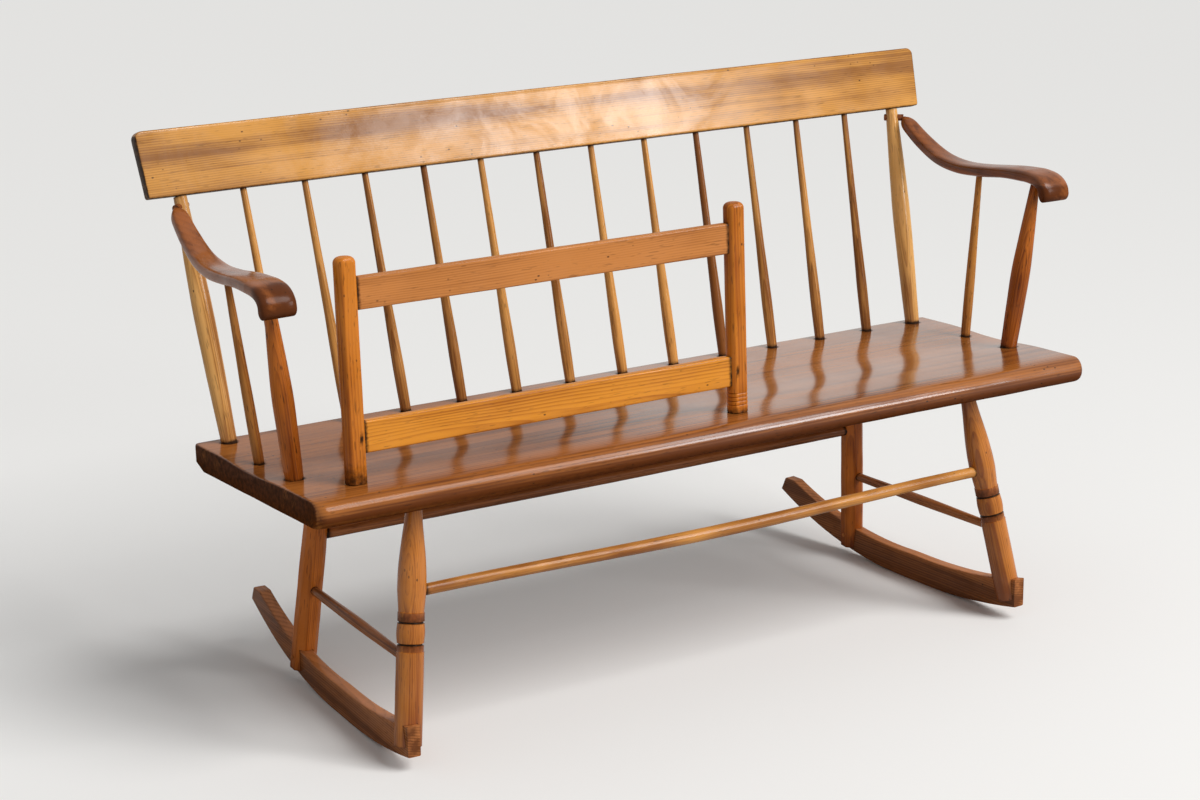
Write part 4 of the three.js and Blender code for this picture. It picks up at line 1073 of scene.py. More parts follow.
class BENCH_OT_seat(Step):
    """Saw, dish and round over the seat plank"""

    bl_idname = "bench.seat"
    bl_label = "Seat plank"

    def section(self, s):
        """The closed outline of the plank from front to back, as (setback, height)."""
        nose = s.thick / 2
        turn = np.linspace(-math.pi / 2, math.pi / 2, 25)
        front = np.stack([nose - nose * np.cos(turn), -nose + nose * np.sin(turn)], 1)
        back = s.deep - s.rear_round
        row = bpy.context.scene.bench_back.setback
        fine_reach, fine_gap, pitch = 0.021, 0.024, 0.006
        near = row + np.linspace(-fine_reach, fine_reach, 15)
        rest = np.arange(nose + pitch, back - 0.002, pitch)
        rest = rest[np.abs(rest - row) > fine_gap]
        along = np.sort(np.concatenate([near, rest]))
        top = np.stack([along, seat_surface(along, s)], 1)
        round_turn = np.linspace(math.pi / 2, 0, 5)
        corner_y = back + s.rear_round * np.cos(round_turn)
        corner = np.stack([corner_y, s.rear_round * (np.sin(round_turn) - 1)], 1)
        low = [(s.deep, s.undercut_rise - s.thick), (s.deep - s.undercut_run, -s.thick)]
        under = [(y, -s.thick) for y in np.linspace(s.deep - 0.06, nose + 0.02, 10)]
        return np.concatenate([front, top, corner, low, under])

    def stations(self, s):
        """Where the plank's sections lie along it, close together at its rounded corners."""
        half = s.long / 2
        pitch = 0.0045
        turn = np.linspace(0, math.pi / 2, 9)
        right = half - s.front_corner + s.front_corner * np.sin(turn)
        count = int((s.long - 2 * s.front_corner) / pitch)
        middle = np.linspace(-half + s.front_corner, half - s.front_corner, count)[1:-1]
        return np.concatenate([-right[::-1], middle, right])

    def execute(self, context):
        s = context.scene.bench_seat
        half = s.long / 2
        section = self.section(s)
        rings = []
        for x in self.stations(s):
            front = rounding(x, half, s.front_corner)
            rear = rounding(x, half, s.rear_corner)
            ease = rounding(x, half, s.end_ease)
            setback = front + section[:, 0] * (s.deep - front - rear) / s.deep
            height = -s.thick / 2 + (section[:, 1] + s.thick / 2) * (1 - 2 * ease / s.thick)
            rings.append(np.stack([np.full(len(section), x), setback, height], 1))
        mesh = skin("seat_plank", rings)
        g = context.scene.bench_guard
        hole_radius = g.peg_radius + g.clearance
        holes = []
        for x in (g.left_x, g.right_x):
            hole = lathe("peg_hole", [(-g.peg_long, hole_radius), (0.01, hole_radius)])
            hole.transform(Matrix.Translation((x, g.setback, 0)))
            holes.append(hole)
        mesh = cut(mesh, holes, "seat_plank")
        marks = self.marks(worked(mesh, size=0.0004, scale=16, seed=2, degrees=42), s)
        placed("seat_plank", mesh, seat_place(), "seat_wood", "bench", ["seat"], marks)
        return {"FINISHED"}

    def marks(self, points, s):
        """Dirt round the sticks, dark end grain and painted shade on the ends, painted shade under the
        plank and below the nose, a painted highlight on the nose, gloss on the right half.
        """
        across, back, down = points[:, 0], points[:, 1], -points[:, 2]
        inward = seat_place().inverted()
        ring_spread, ring_depth = 0.003, 0.012
        grime = np.zeros(len(points))
        standing = [spindle(n + 1) for n in range(SPINDLES)]
        for side in SIDES.values():
            standing += [back_post(side), arm_post(side), arm_stick(side)]
        for stick in standing:
            foot = inward @ stick.point(stick.foot_socket)
            radius = stick.outline[1][1]
            away = np.hypot(across - foot.x, back - foot.y) - radius
            grime = np.maximum(grime, fading(away, ring_spread) * (down < ring_depth))
        # Darker end grain with painted shade on the ends, and painted shade over the underside
        end = soft_step(np.abs(across), s.long / 2 - 0.002, s.long / 2)
        underside = soft_step(down, 0.4 * s.thick, 0.9 * s.thick)
        grime = np.maximum(grime, 0.6 * end)
        grime = np.maximum(grime, 0.34 * underside)

        # The rounded front edge: painted shade below, a painted golden highlight in its middle, worn on
        # its upper arris
        nose = soft_step(back, 1.6 * s.thick, 0.2 * s.thick)
        stain = 0.8 * nose * soft_step(down, 0.25 * s.thick, 0.8 * s.thick) + 1.1 * end
        arris = soft_step(back, s.thick, 0.5 * s.thick) * soft_step(-down, -0.01, 0)
        gold_highlight = nose * soft_step(down, 0.7 * s.thick, 0.2 * s.thick)
        worn = np.maximum(0.35 * arris, 0.2 * gold_highlight)

        polish = 0.4 + 0.6 * soft_step(across, -0.22 * s.long, 0.05 * s.long)
        polish *= 1 - 0.85 * soft_step(down, 0.35 * s.thick, 0.75 * s.thick)
        polish *= 1 - 0.85 * end
        polish *= 1 - 0.75 * nose
        return {"grime": grime, "worn": worn, "stain": stain, "polish": polish}


class BENCH_OT_crest(Step):
    """Saw and ease the broad rail along the top of the back"""

    bl_idname = "bench.crest"
    bl_label = "Crest rail"

    def execute(self, context):
        s = context.scene.bench_back
        post = back_post(1)
        head = post.point(post.long - s.crest_socket)
        place = Matrix.Translation((0, head.y, head.z)) @ Matrix.Rotation(-s.crest_lean, 4, "X")
        low_half = head.x + s.crest_overhang
        section = board_section(
            s.crest_thick, s.crest_tall, s.crest_ease, face_steps=22, edge_steps=4
        )
        section[:, 1] += s.crest_tall / 2
        share_up = section[:, 1] / s.crest_tall
        turn = np.linspace(0, math.pi / 2, 9)
        corner, end_ease = s.crest_corner, 0.003
        end = low_half - corner + corner * np.sin(turn)
        middle = np.linspace(-low_half + corner, low_half - corner, 260)[1:-1]
        rings = []
        for x in np.concatenate([-end[::-1], middle, end]):
            drop = rounding(x, low_half, corner)
            lift = rounding(x, low_half, end_ease)
            height = lift + share_up * (s.crest_tall - drop - lift)
            wide = section[:, 0] * (1 - 0.6 * lift / (s.crest_thick / 2))
            flare = math.copysign(s.crest_flare * (abs(x) / low_half) ** 6, x)
            across = x + flare * share_up
            rings.append(np.stack([across, wide, height], 1))
        mesh = skin("crest_board", rings)
        points = worked(mesh, size=0.0004, scale=14, seed=4, degrees=42)
        marks = self.marks(points, s, low_half)
        placed(
            "crest_board", mesh, place, "crest_wood", "bench", ["crest_rail"], marks
        )
        return {"FINISHED"}

    def marks(self, points, s, low_half):
        """Darker along the lower edge, dirt on the top, dark end grain and painted shade on the ends, a
        browner upper half, less gloss right.
        """
        across, up = points[:, 0], points[:, 2]
        rise = up / s.crest_tall
        past_end = np.abs(across) - low_half - s.crest_flare * rise
        # Darker along the lower edge, and dirt on the top
        grime = 0.75 * soft_step(up, 0.0035, 0.0) + 0.5 * soft_step(rise, 0.965, 1.0)
        # The ends: darker end grain, and painted shade on the end faces
        grime = np.maximum(grime, 0.85 * soft_step(past_end, -0.0025, -0.0002))
        brown = soft_step(rise, 0.42, 0.62) * (1 - 0.45 * soft_step(rise, 0.80, 0.95))
        # Slanting waves, three to four along the rail in each metre
        waves = 0.34 + 0.12 * np.sin(23 * across + 60 * up)
        polish = 1 - 0.6 * soft_step(across, 0.12, 0.42)
        return {"lot": 0.13, "grime": grime, "stain": brown * waves, "polish": polish}


def board_section(thick, tall, ease, face_steps, edge_steps):
    """A rectangle with rounded corners about its middle, as (across, up), anticlockwise."""
    a, b = thick / 2, tall / 2
    points = []
    corners = (
        (a - ease, b - ease, 0),
        (-a + ease, b - ease, 1),
        (-a + ease, -b + ease, 2),
        (a - ease, -b + ease, 3),
    )
    runs = (edge_steps, face_steps, edge_steps, face_steps)
    for index, (x, y, quarter) in enumerate(corners):
        for t in np.linspace(quarter, quarter + 1, 5) * math.pi / 2:
            points.append((x + ease * math.cos(t), y + ease * math.sin(t)))
        nx, ny, nq = corners[(index + 1) % 4]
        start = points[-1]
        t = nq * math.pi / 2
        end = (nx + ease * math.cos(t), ny + ease * math.sin(t))
        for k in range(1, runs[index]):
            f = k / runs[index]
            points.append((start[0] + (end[0] - start[0]) * f, start[1] + (end[1] - start[1]) * f))
    return np.array(points)


class BENCH_OT_sticks(Step):
    """Turn the posts and the spindles of the back"""

    bl_idname = "bench.sticks"
    bl_label = "Back sticks"

    def execute(self, context):
        for name, side in SIDES.items():
            title, node = f"post_turning_{name}", f"back_post_{name}"
            lot = 0.21 + 0.1 * side
            turned_piece(title, back_post(side), "post_wood", node, lot)
        for number in range(1, SPINDLES + 1):
            title, node = f"turning_{number:02d}", f"spindle_{number:02d}"
            lot = (number * LOT_STEP) % 1
            stick = spindle(number)
            turned_piece(title, stick, "stick_wood", node, lot, THIN_SIDES)
        return {"FINISHED"}


class BENCH_OT_arms(Step):
    """Carve the two scroll arms"""

    bl_idname = "bench.arms"
    bl_label = "Scroll arms"

    def ring(self, middle, wide, thick, normal):
        """An outline between an ellipse and a rectangle, square to the arm's middle line."""
        sides, fullness = 44, 0.55
        turn = np.arange(sides) * TAU / sides
        across = np.sign(np.cos(turn)) * np.abs(np.cos(turn)) ** fullness * wide / 2
        upward = np.sign(np.sin(turn)) * np.abs(np.sin(turn)) ** fullness * thick / 2
        return [tuple(middle + X * a + normal * b) for a, b in zip(across, upward)]

    def execute(self, context):
        s = context.scene.bench_arm
        for name, side in SIDES.items():
            title = f"scroll_arm_{name}"
            bend = arm_bend(side)
            stations = [(middle - bend, wide, thick) for middle, wide, thick in arm_stations(side)]
            rings = []
            for step, (middle, wide, thick) in enumerate(stations):
                before = stations[max(0, step - 1)][0]
                after = stations[min(len(stations) - 1, step + 1)][0]
                line = after - before
                line.x = 0
                rings.append(self.ring(middle, wide, thick, X.cross(line).normalized()))
            mesh = skin(title, rings)
            points = worked(mesh, size=0.0004, scale=18, seed=3 + side, degrees=50)
            marks = self.marks(points, s, side)
            place = Matrix.Translation(bend)
            placed(title, mesh, place, "arm_wood", "bench", [f"arm_{name}"], marks)
            self.tenon(s, name, side)
        return {"FINISHED"}

    def marks(self, points, s, side):
        """Dirt beside both posts, painted shade under the curl and on its dull front, more painted shade
        over the left curl, and wear with a painted highlight on the front's rims.
        """
        bend = arm_bend(side)
        down = -points[:, 2]
        curl = soft_step(points[:, 1], -0.016, -0.036)
        # Painted shade under the curl and on its front, which faces the floor
        under = soft_step(down, 0.014, 0.036) * curl
        front = soft_step(down, 0.004, 0.014) * curl
        post = beside(points, back_post(side), bend)
        prop = beside(points, arm_post(side), bend)
        rims = soft_step(np.abs(points[:, 0]), 0.4 * s.scroll_wide, 0.5 * s.scroll_wide)
        return {
            "lot": 0.4 + 0.2 * side,
            "grime": np.maximum(np.maximum(0.4 * under, post), prop),
            # Wear and a painted highlight on the rims; painted shade on the curl, strongest on the left
            # arm
            "worn": 0.4 * rims * front,
            "stain": np.maximum(front, (0.6 - 0.4 * side) * curl),
            "polish": 1 - np.maximum(0.75 * front, (0.3 - 0.3 * side) * curl),
        }

    def tenon(self, s, name, side):
        """The round end of the arm, which goes through the post and shows on its far side."""
        tip = arm_tip(side)
        axis = back_post(side).at_height(tip.z)
        direction = (axis - tip).normalized()
        end = axis + direction * (bpy.context.scene.bench_back.post_head + s.tenon_proud)
        made = Stick(tip, end, 0, 0, [(0, s.tenon), (1, s.tenon)], 1)
        top = made.long
        made.outline = [
            (0, s.tenon),
            (top - 0.0012, s.tenon),
            (top - 0.0003, s.tenon * 0.9),
            (top, s.tenon * 0.7),
        ]
        title = f"arm_tenon_{name}"
        mesh = lathe(title, denser(made.outline, [], 0.003), sides=24)
        shade(mesh, degrees=40)
        marks = {"lot": 0.2, "grime": 0.35}
        placed(title, mesh, made.place(), "arm_wood", "bench", [], marks)


def beside(points, stick, origin):
    """1 on the points beside a stick and 0 well away; origin is where their frame stands."""
    line = np.array(stick.direction)
    away = points - np.array(stick.start - origin)
    along = away @ line
    across = np.linalg.norm(away - along[:, None] * line, axis=1)
    past = np.clip(np.maximum(along - stick.long, -along), 0, None)
    aside = np.clip(across - np.interp(along, *np.array(stick.outline).T), 0, None)
    return np.exp(-np.hypot(past, aside) / FOOT_DIRT)


def pin_spots(points, place, nodes):
    """1 over the end of each pin, on the faces that it comes out through."""
    spots = np.zeros(len(points))
    inward = place.inverted()
    for node in nodes:
        low, high = (inward @ Vector(corner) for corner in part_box(node))
        middle, half = (low + high) / 2, (high - low) / 2
        line = max(range(3), key=lambda axis: abs(half[axis]))
        aside = [axis for axis in range(3) if axis != line]
        away = np.hypot(*[points[:, axis] - middle[axis] for axis in aside])
        radius = min(abs(half[axis]) for axis in aside)
        spots = np.maximum(spots, soft_step(away, 1.5 * radius, 0.9 * radius))
    return spots


class BENCH_OT_arm_sticks(Step):
    """Turn the posts and the spindles under the arms"""

    bl_idname = "bench.arm_sticks"
    bl_label = "Arm posts"

    def execute(self, context):
        for name, side in SIDES.items():
            title, node = f"arm_prop_{name}", f"arm_post_{name}"
            lot = 0.5 + 0.3 * side
            turned_piece(title, arm_post(side), "arm_post_wood", node, lot)
            title, node = f"arm_stick_{name}", f"arm_spindle_{name}"
            lot = 0.45 + 0.2 * side
            stick = arm_stick(side)
            turned_piece(title, stick, "arm_stick_wood", node, lot, THIN_SIDES)
        return {"FINISHED"}


class BENCH_OT_rockers(Step):
    """Saw the two curved rockers"""

    bl_idname = "bench.rockers"
    bl_label = "Rockers"

    def execute(self, context):
        r = context.scene.bench_rocker
        for name, side in SIDES.items():
            title = f"rocker_plank_{name}"
            mesh = rocker_mesh(title)
            points = worked(mesh, size=0.0003, scale=16, seed=5 + side, degrees=42)
            marks = self.marks(points, r, side)
            place, node = rocker_place(side), f"rocker_{name}"
            placed(title, mesh, place, "rocker_wood", "bench", [node], marks)
        return {"FINISHED"}

    def marks(self, points, r, side):
        """A dirty underside, a top edge that is worn and carries painted light, and browner faces and
        front end.
        """
        across, back = np.abs(points[:, 0]), points[:, 1]
        up = points[:, 2] - rocker_edges(back)[0][1]
        front = soft_step(back, r.front + 0.002, r.front)
        face = soft_step(across, 0.4 * r.thick, 0.5 * r.thick)
        return {
            "lot": 0.3 + 0.15 * side,
            "grime": 0.35 * soft_step(up, 0.004, -0.001),
            # Wear, and painted light, on the upper edge
            "worn": 0.7 * soft_step(up, 0.8 * r.tail_deep, r.deep),
            "stain": 0.3 * face + 0.35 * front,
        }


def rocker_mesh(name, grow=0.0, drop=0.0):
    """A rocker, or with grow the slot that a leg has for it; drop lowers its underside."""
    r = bpy.context.scene.bench_rocker
    stations, first_of_tail = 110, 60
    run = np.linspace(r.front, r.tail, stations)
    low = rocker_edges(run)[0][1]
    back, high = rocker_edges(run, grow)[1]
    rise = math.tan(-float(rocker_slope(r.front)[0]))
    back = np.concatenate([[r.front - grow], back])
    high = np.concatenate([[high[0] + (back[1] - r.front) * rise], high])
    turn = float(rocker_slope(r.tail)[0])
    cut_y = r.tail - r.tail_cut * math.sin(turn)
    cut_z = low[-1] + r.tail_cut * math.cos(turn)
    corner = float(np.interp(cut_z, high[first_of_tail:], back[first_of_tail:]))
    kept = back < corner
    back = np.concatenate([back[kept], [corner, cut_y]])
    high = np.concatenate([high[kept], [cut_z, cut_z]])
    walk = np.concatenate([[0], np.cumsum(np.hypot(np.diff(back), np.diff(high)))])
    pace = np.linspace(0, walk[-1], stations)
    pace[np.argmin(np.abs(pace - walk[-2]))] = walk[-2]
    top_y, top_z = np.interp(pace, walk, back), np.interp(pace, walk, high)
    slot_ease = 0.0003
    ease = slot_ease if grow else r.ease
    rings = []
    for i, y in enumerate(run):
        foot = np.array([y, low[i] - drop])
        head = np.array([top_y[i], top_z[i]])
        tall = np.linalg.norm(head - foot)
        section = board_section(r.thick + 2 * grow, tall, ease, face_steps=10, edge_steps=4)
        share_up = (section[:, 1] + tall / 2) / tall
        line = foot + (head - foot) * share_up[:, None]
        rings.append(np.concatenate([section[:, :1], line], 1))
    return skin(name, rings)


class BENCH_OT_legs(Step):
    """Turn the front legs, shave the back ones and slot them over the rockers"""

    bl_idname = "bench.legs"
    bl_label = "Legs"

    def execute(self, context):
        for name, side in SIDES.items():
            for place_name, maker in LEGS.items():
                self.make(context, name, side, place_name, maker(side))
        return {"FINISHED"}

    def make(self, context, name, side, place_name, made):
        """Cuts the slot for the rocker into the turned or shaved blank."""
        title = f"{place_name}_leg_turning_{name}"
        is_front = place_name == "front"
        neck = made.long - made.head_socket
        extra = [0.002, 0.006, 0.012] + [neck - distance for distance in (-0.001, 0.001, 0.004, 0.01)]
        outline = denser(made.outline, extra, 0.012)
        if is_front:
            mesh = lathe(title, outline, sides=56)
        else:
            mesh = skin(title, [self.shaved(radius, height) for height, radius in outline])
        slot = rocker_mesh("slot", context.scene.bench_guard.clearance, drop=0.05)
        slot.transform(made.place().inverted() @ rocker_place(side))
        mesh = cut(mesh, [slot], title)
        size, degrees = (0.0002, 42) if is_front else (0.0005, 30)
        points = worked(mesh, size, scale=20, seed=6 + side, degrees=degrees)
        marks = self.marks(points[:, 2], context.scene.bench_leg, neck, is_front)
        marks["lot"] = 0.25 + 0.2 * side + 0.1 * (not is_front)
        wood_name = "leg_wood" if is_front else "rear_leg_wood"
        node = f"{place_name}_leg_{name}"
        placed(title, mesh, made.place(), wood_name, "bench", [node], marks)

    def marks(self, height, s, neck, is_front):
        """Dirt at both ends and in the grooves, a browner foot, painted shade on the neck under the seat,
        and two dark bands.
        """
        neck_dirt, foot_dirt, brown_reach, edge = 0.005, 0.003, 0.03, 0.001
        grime = np.maximum(fading(neck - height, neck_dirt), 0.6 * np.exp(-height / foot_dirt))
        # Browner at the foot, and painted shade at the neck under the seat
        brown = 0.6 * np.exp(-height / brown_reach) + 0.6 * fading(neck - height, brown_reach)
        if not is_front:
            return {"grime": grime, "stain": np.maximum(brown, 0)}
        for groove in (s.lower_groove, s.upper_groove):
            away = (height - groove) / (1.2 * s.groove_half)
            grime = np.maximum(grime, 1.15 * np.exp(-(away**2)))
        band_foot, collar_head = s.lower_groove - s.band, s.upper_groove + s.collar
        band = soft_step(height, band_foot - edge, band_foot + edge)
        band *= soft_step(height, s.lower_groove, s.lower_groove - 0.002)
        collar = soft_step(height, s.upper_groove, s.upper_groove + 0.002)
        collar *= soft_step(height, collar_head + edge, collar_head - edge)
        bands = np.maximum(band, collar)
        grime = np.maximum(grime, 0.5 * bands)
        return {"grime": grime, "stain": np.maximum(brown, 0.8 * bands)}

    def shaved(self, radius, height):
        """Eight flats with softened arrises."""
        sides, arris = 64, 0.985
        half_flat = math.pi / 8
        turn = np.arange(sides) * TAU / sides
        flat = math.cos(half_flat) / np.cos((turn + half_flat) % (2 * half_flat) - half_flat)
        size = radius * np.minimum(flat, arris)
        return np.stack([size * np.cos(turn), size * np.sin(turn), np.full(sides, height)], 1)


class BENCH_OT_stretchers(Step):
    """Turn the stretchers between the legs"""

    bl_idname = "bench.stretchers"
    bl_label = "Stretchers"

    def execute(self, context):
        s = context.scene.bench_stretcher
        for name, side in SIDES.items():
            start = front_leg(side).at_height(s.side_height)
            end = rear_leg(side).at_height(s.side_height)
            made = stretcher(start, end, s.side_end, s.side_middle)
            title, node = f"side_turning_{name}", f"side_stretcher_{name}"
            lot = 0.6 + 0.1 * side
            turned_piece(title, made, "stretcher_wood", node, lot, THIN_SIDES)
        self.long(s, "front", "long_stretcher_wood", "stick_wood", 0.5, s.sag)
        self.long(s, "rear", "stretcher_wood", "rocker_wood", 0.35, 0)
        return {"FINISHED"}

    def long(self, s, place_name, wood_name, slot_name, lot, sag):
        """A stretcher along the bench, sunk in its middle by the sag."""
        height = getattr(s, place_name + "_height")
        start, end = (LEGS[place_name](side).at_height(height) for side in (-1, 1))
        made = stretcher(start, end, s.long_end, s.long_middle)
        title, node = f"{place_name}_stretcher_turning", f"{place_name}_stretcher"
        piece = turned_piece(title, made, wood_name, node, lot, THIN_SIDES)
        down = (made.place().to_3x3().inverted() @ -Z).normalized()
        free = made.long - 2 * made.foot_socket
        for vertex in piece.data.vertices:
            t = min(max((vertex.co.z - made.foot_socket) / free, 0), 1)
            vertex.co += down * sag * math.sin(math.pi * t) ** 2


class BENCH_OT_guard(Step):
    """Make the lift-out guard: two pegged posts and two rails"""

    bl_idname = "bench.guard"
    bl_label = "Infant guard"

    def rings_of_post(self, s, scored):
        """A round post planed flat in front and behind, with a rounded top and a peg below."""
        sides, arris = 48, 0.0008
        turn = np.arange(sides) * TAU / sides
        outline = [(-s.peg_long, s.peg_radius), (-0.0001, s.peg_radius)]
        outline += [(0, s.post_radius - arris), (arris, s.post_radius)]
        for at in scored:
            outline.append((at - SCORE, s.post_radius))
            outline.append((at, s.post_radius - SCORE))
            outline.append((at + SCORE, s.post_radius))
        base = s.post_tall - s.post_dome
        outline += [(h, s.post_radius) for h in np.arange(0.05, base - 0.004, 0.014)]
        outline.append((base, s.post_radius))
        for t in np.linspace(0.12, 0.97, 9):
            rise = t * math.pi / 2
            radius = s.post_radius * (0.42 + 0.58 * math.cos(rise))
            outline.append((base + s.post_dome * math.sin(rise), radius))
        rings = []
        for height, radius in sorted(outline):
            x, y = radius * np.cos(turn), radius * np.sin(turn)
            flat = s.post_flat * min(1.0, (0.30 + 0.70 * radius / s.post_radius))
            limit = flat if height >= 0 else radius
            rings.append(np.stack([x, np.clip(y, -limit, limit), np.full(sides, height)], 1))
        return rings

    def post(self, s, name, x, inner, scored):
        """One post; inner is -1 or 1 for the side on which its rails are."""
        title = f"guard_upright_{name}"
        mesh = skin(title, self.rings_of_post(s, scored))
        points = worked(mesh, size=0.00025, scale=20, seed=8, degrees=36)
        height = points[:, 2]
        grime = 0.9 * fading(height, FOOT_DIRT)
        for at in scored:
            grime = np.maximum(grime, 0.5 * np.exp(-(((height - at) / SCORE) ** 2)))
        faces_rails = points[:, 0] * inner > s.post_radius * 0.9
        past = 0.002
        for base in (s.lower_base, s.upper_base):
            beside_rail = (height > base - past) & (height < base + s.rail_tall + past)
            grime = np.maximum(grime, 0.6 * beside_rail * faces_rails)
        place = seat_place() @ Matrix.Translation((x, s.setback, s.clearance))
        pins = [f"guard_pin_{level}_{name}" for level in ("lower", "upper")]
        grime = np.maximum(grime, 0.9 * pin_spots(points, place, pins))
        marks = {"lot": 0.5 + 0.12 * inner, "grime": grime}
        wood_name, node = "guard_post_wood", f"guard_post_{name}"
        placed(title, mesh, place, wood_name, "guard", [node], marks)

    def rail(self, s, level, base, lot):
        """One rail, from inside the left post to inside the right one."""
        span = s.right_x - s.left_x
        free = span / 2 - s.post_radius
        tenon = 0.006
        half = free + s.housing + tenon
        section = board_section(
            s.rail_thick, s.rail_tall, s.rail_round, face_steps=14, edge_steps=4
        )
        rings = [
            np.stack([np.full(len(section), x), section[:, 0], section[:, 1]], 1)
            for x in np.linspace(-half, half, 130)
        ]
        title = f"guard_bar_{level}"
        mesh = skin(title, rings)
        points = worked(mesh, size=0.0003, scale=16, seed=9, degrees=42)
        grime = 0.8 * fading(free - np.abs(points[:, 0]), HEAD_DIRT)
        middle = ((s.left_x + s.right_x) / 2, s.setback, base + s.rail_tall / 2)
        place = seat_place() @ Matrix.Translation(middle)
        wood_name, node = f"guard_{level}_rail_wood", f"guard_rail_{level}"
        marks = {"lot": lot, "grime": grime}
        placed(title, mesh, place, wood_name, "guard", [node], marks)

    def execute(self, context):
        s = context.scene.bench_guard
        self.post(s, "left", s.left_x, 1, ())
        self.post(s, "right", s.right_x, -1, SCORED)
        self.rail(s, "lower", s.lower_base, 0.1)
        self.rail(s, "upper", s.upper_base, 0.7)
        return {"FINISHED"}


class BENCH_OT_pegs(Step):
    """Give the pegs and pins their dark end grain"""

    bl_idname = "bench.pegs"
    bl_label = "Pegs"

    def execute(self, context):
        for node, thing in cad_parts.items():
            if "_pin_" in node:
                thing.data.materials.clear()
                thing.data.materials.append(finish("peg_wood"))
        return {"FINISHED"}


# Stage

# The height at which the softbox is aimed, a little over the seat
MIDDLE_HEIGHT = 0.6
# Width in millimetres of the frame that the focal length goes with
FRAME_WIDTH = 36


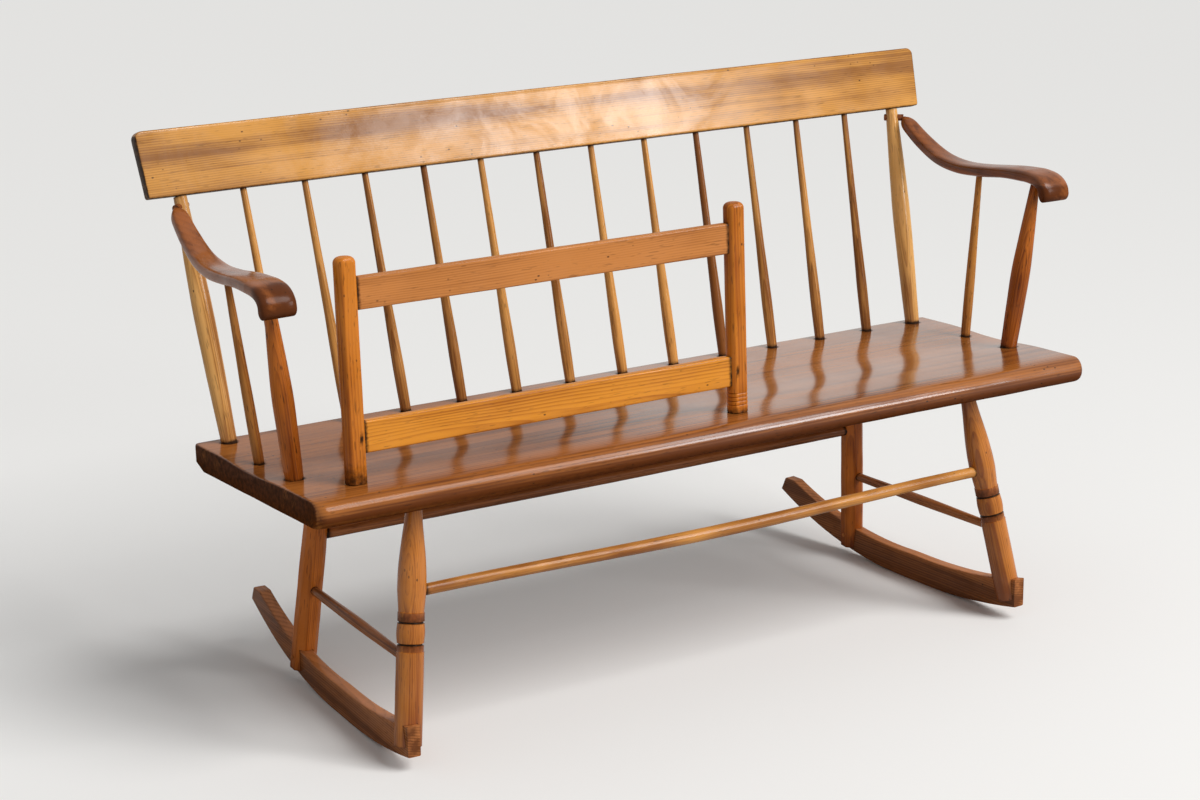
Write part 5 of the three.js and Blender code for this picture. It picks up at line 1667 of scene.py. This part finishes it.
class BENCH_OT_stage(Step):
    """Lay the floor, hang the lamps and set up the camera"""

    bl_idname = "bench.stage"
    bl_label = "Floor, lamps and camera"

    def execute(self, context):
        s = context.scene.bench_stage
        self.floor(tuple(context.scene.bench_colours.floor))
        self.sky(s, tuple(context.scene.bench_colours.floor))
        self.lamp(s)
        self.softbox(s)
        self.camera(s)
        context.scene.view_settings.view_transform = "Standard"
        return {"FINISHED"}

    def floor(self, tint):
        """A plain floor, which the bench sees darker than the camera does."""
        mesh = bpy.data.meshes.new("floor")
        reach, share_seen = 40, 0.55
        corners = [(-reach, -reach, 0), (reach, -reach, 0), (reach, reach, 0), (-reach, reach, 0)]
        mesh.from_pydata(corners, [], [(0, 1, 2, 3)])
        f = Finish(bpy.data.materials.new("floor_paint"))
        dim = tuple(share_seen * channel for channel in tint)
        base = f.mix(self.seen(f), dim, tint)
        paint = f.close({"Base Color": base, "Roughness": 1.0, "Specular IOR Level": 0.0})
        mesh.materials.append(paint)
        added("floor", mesh)

    def seen(self, f):
        """1 for rays from the camera and for those that a glossy or clear surface sends on."""
        outputs = f.node("ShaderNodeLightPath").outputs
        kinds = ("Is Camera Ray", "Is Glossy Ray", "Is Transmission Ray")
        camera, glossy, clear = (Amount(f, outputs[kind]) for kind in kinds)
        return (camera + glossy + clear).between(0.0, 1.0)

    def sky(self, s, tint):
        """Even light from all round, which looks like the floor where a ray can see it."""
        world = bpy.data.worlds.new("studio")
        bpy.context.scene.world = world
        f = Finish(world)
        light_values = {"Color": (0.98, 0.99, 1.0), "Strength": s.sky}
        light = f.node("ShaderNodeBackground", None, light_values).outputs[0]
        plain = f.node("ShaderNodeBackground", None, {"Color": tint, "Strength": 1.0}).outputs[0]
        both = f.node("ShaderNodeMixShader", None, {0: self.seen(f), 1: light, 2: plain})
        f.node("ShaderNodeOutputWorld", None, {"Surface": both.outputs[0]})

    def aimed(self, turn, height):
        """Aims at the bench from two angles: turn to the right of its front, height above it."""
        return Matrix.Rotation(turn, 4, "Z") @ Matrix.Rotation(math.pi / 2 - height, 4, "X")

    def lamp(self, s):
        """A broad, soft lamp, far off to the right of the front."""
        light = bpy.data.lights.new("studio_lamp", "SUN")
        light.energy = s.lamp
        light.angle = s.lamp_wide
        added("studio_lamp", light, self.aimed(s.lamp_turn, s.lamp_height))

    def softbox(self, s):
        """A window of light in front of the bench, which the varnish shows as a soft sheen."""
        light = bpy.data.lights.new("softbox", "AREA")
        light.shape = "RECTANGLE"
        light.energy = s.box
        light.size = s.box_wide
        light.size_y = s.box_tall
        middle = Matrix.Translation((0, 0, MIDDLE_HEIGHT))
        away = Matrix.Translation((0, 0, s.box_away))
        added("softbox", light, middle @ self.aimed(s.box_turn, s.box_height) @ away)

    def camera(self, s):
        """The place and lens of the camera that took the photo."""
        data = bpy.data.cameras.new("camera")
        data.sensor_fit = "HORIZONTAL"
        data.sensor_width = FRAME_WIDTH
        data.lens = s.lens
        data.clip_end = 200
        stand = Matrix.Translation((s.camera_x, s.camera_y, s.camera_z))
        roll = Matrix.Rotation(s.roll, 4, "Z")
        place = stand @ self.aimed(-s.yaw, s.pitch) @ roll
        bpy.context.scene.camera = added("camera", data, place)


OPERATORS = (
    BENCH_OT_stage,
    BENCH_OT_seat,
    BENCH_OT_crest,
    BENCH_OT_sticks,
    BENCH_OT_arms,
    BENCH_OT_arm_sticks,
    BENCH_OT_rockers,
    BENCH_OT_legs,
    BENCH_OT_stretchers,
    BENCH_OT_guard,
    BENCH_OT_pegs,
)


class BENCH_PT_pieces(bpy.types.Panel):
    """The pieces of the bench, in the order in which they are made"""

    bl_label = "Rocking bench"
    bl_idname = "BENCH_PT_pieces"
    bl_space_type = "VIEW_3D"
    bl_region_type = "UI"
    bl_category = "Bench"

    def draw(self, context):
        for operator in OPERATORS:
            self.layout.operator(operator.bl_idname)
        for group in GROUPS:
            box = self.layout.box()
            values = getattr(context.scene, group)
            for key in values.bl_rna.properties.keys():
                if key not in ("rna_type", "name"):
                    box.prop(values, key)


def register():
    for group, kind in GROUPS.items():
        bpy.utils.register_class(kind)
        setattr(bpy.types.Scene, group, bpy.props.PointerProperty(type=kind))
    for kind in (*OPERATORS, BENCH_PT_pieces):
        bpy.utils.register_class(kind)


def unregister():
    for kind in (BENCH_PT_pieces, *reversed(OPERATORS)):
        bpy.utils.unregister_class(kind)
    for group, kind in reversed(GROUPS.items()):
        delattr(bpy.types.Scene, group)
        bpy.utils.unregister_class(kind)


def main():
    """Builds the whole scene."""
    register()
    for operator in OPERATORS:
        name = operator.bl_idname.split(".")[1]
        if getattr(bpy.ops.bench, name)() != {"FINISHED"}:
            raise RuntimeError(f"{operator.bl_label} wasn't made")


if __name__ == "__main__":
    main()
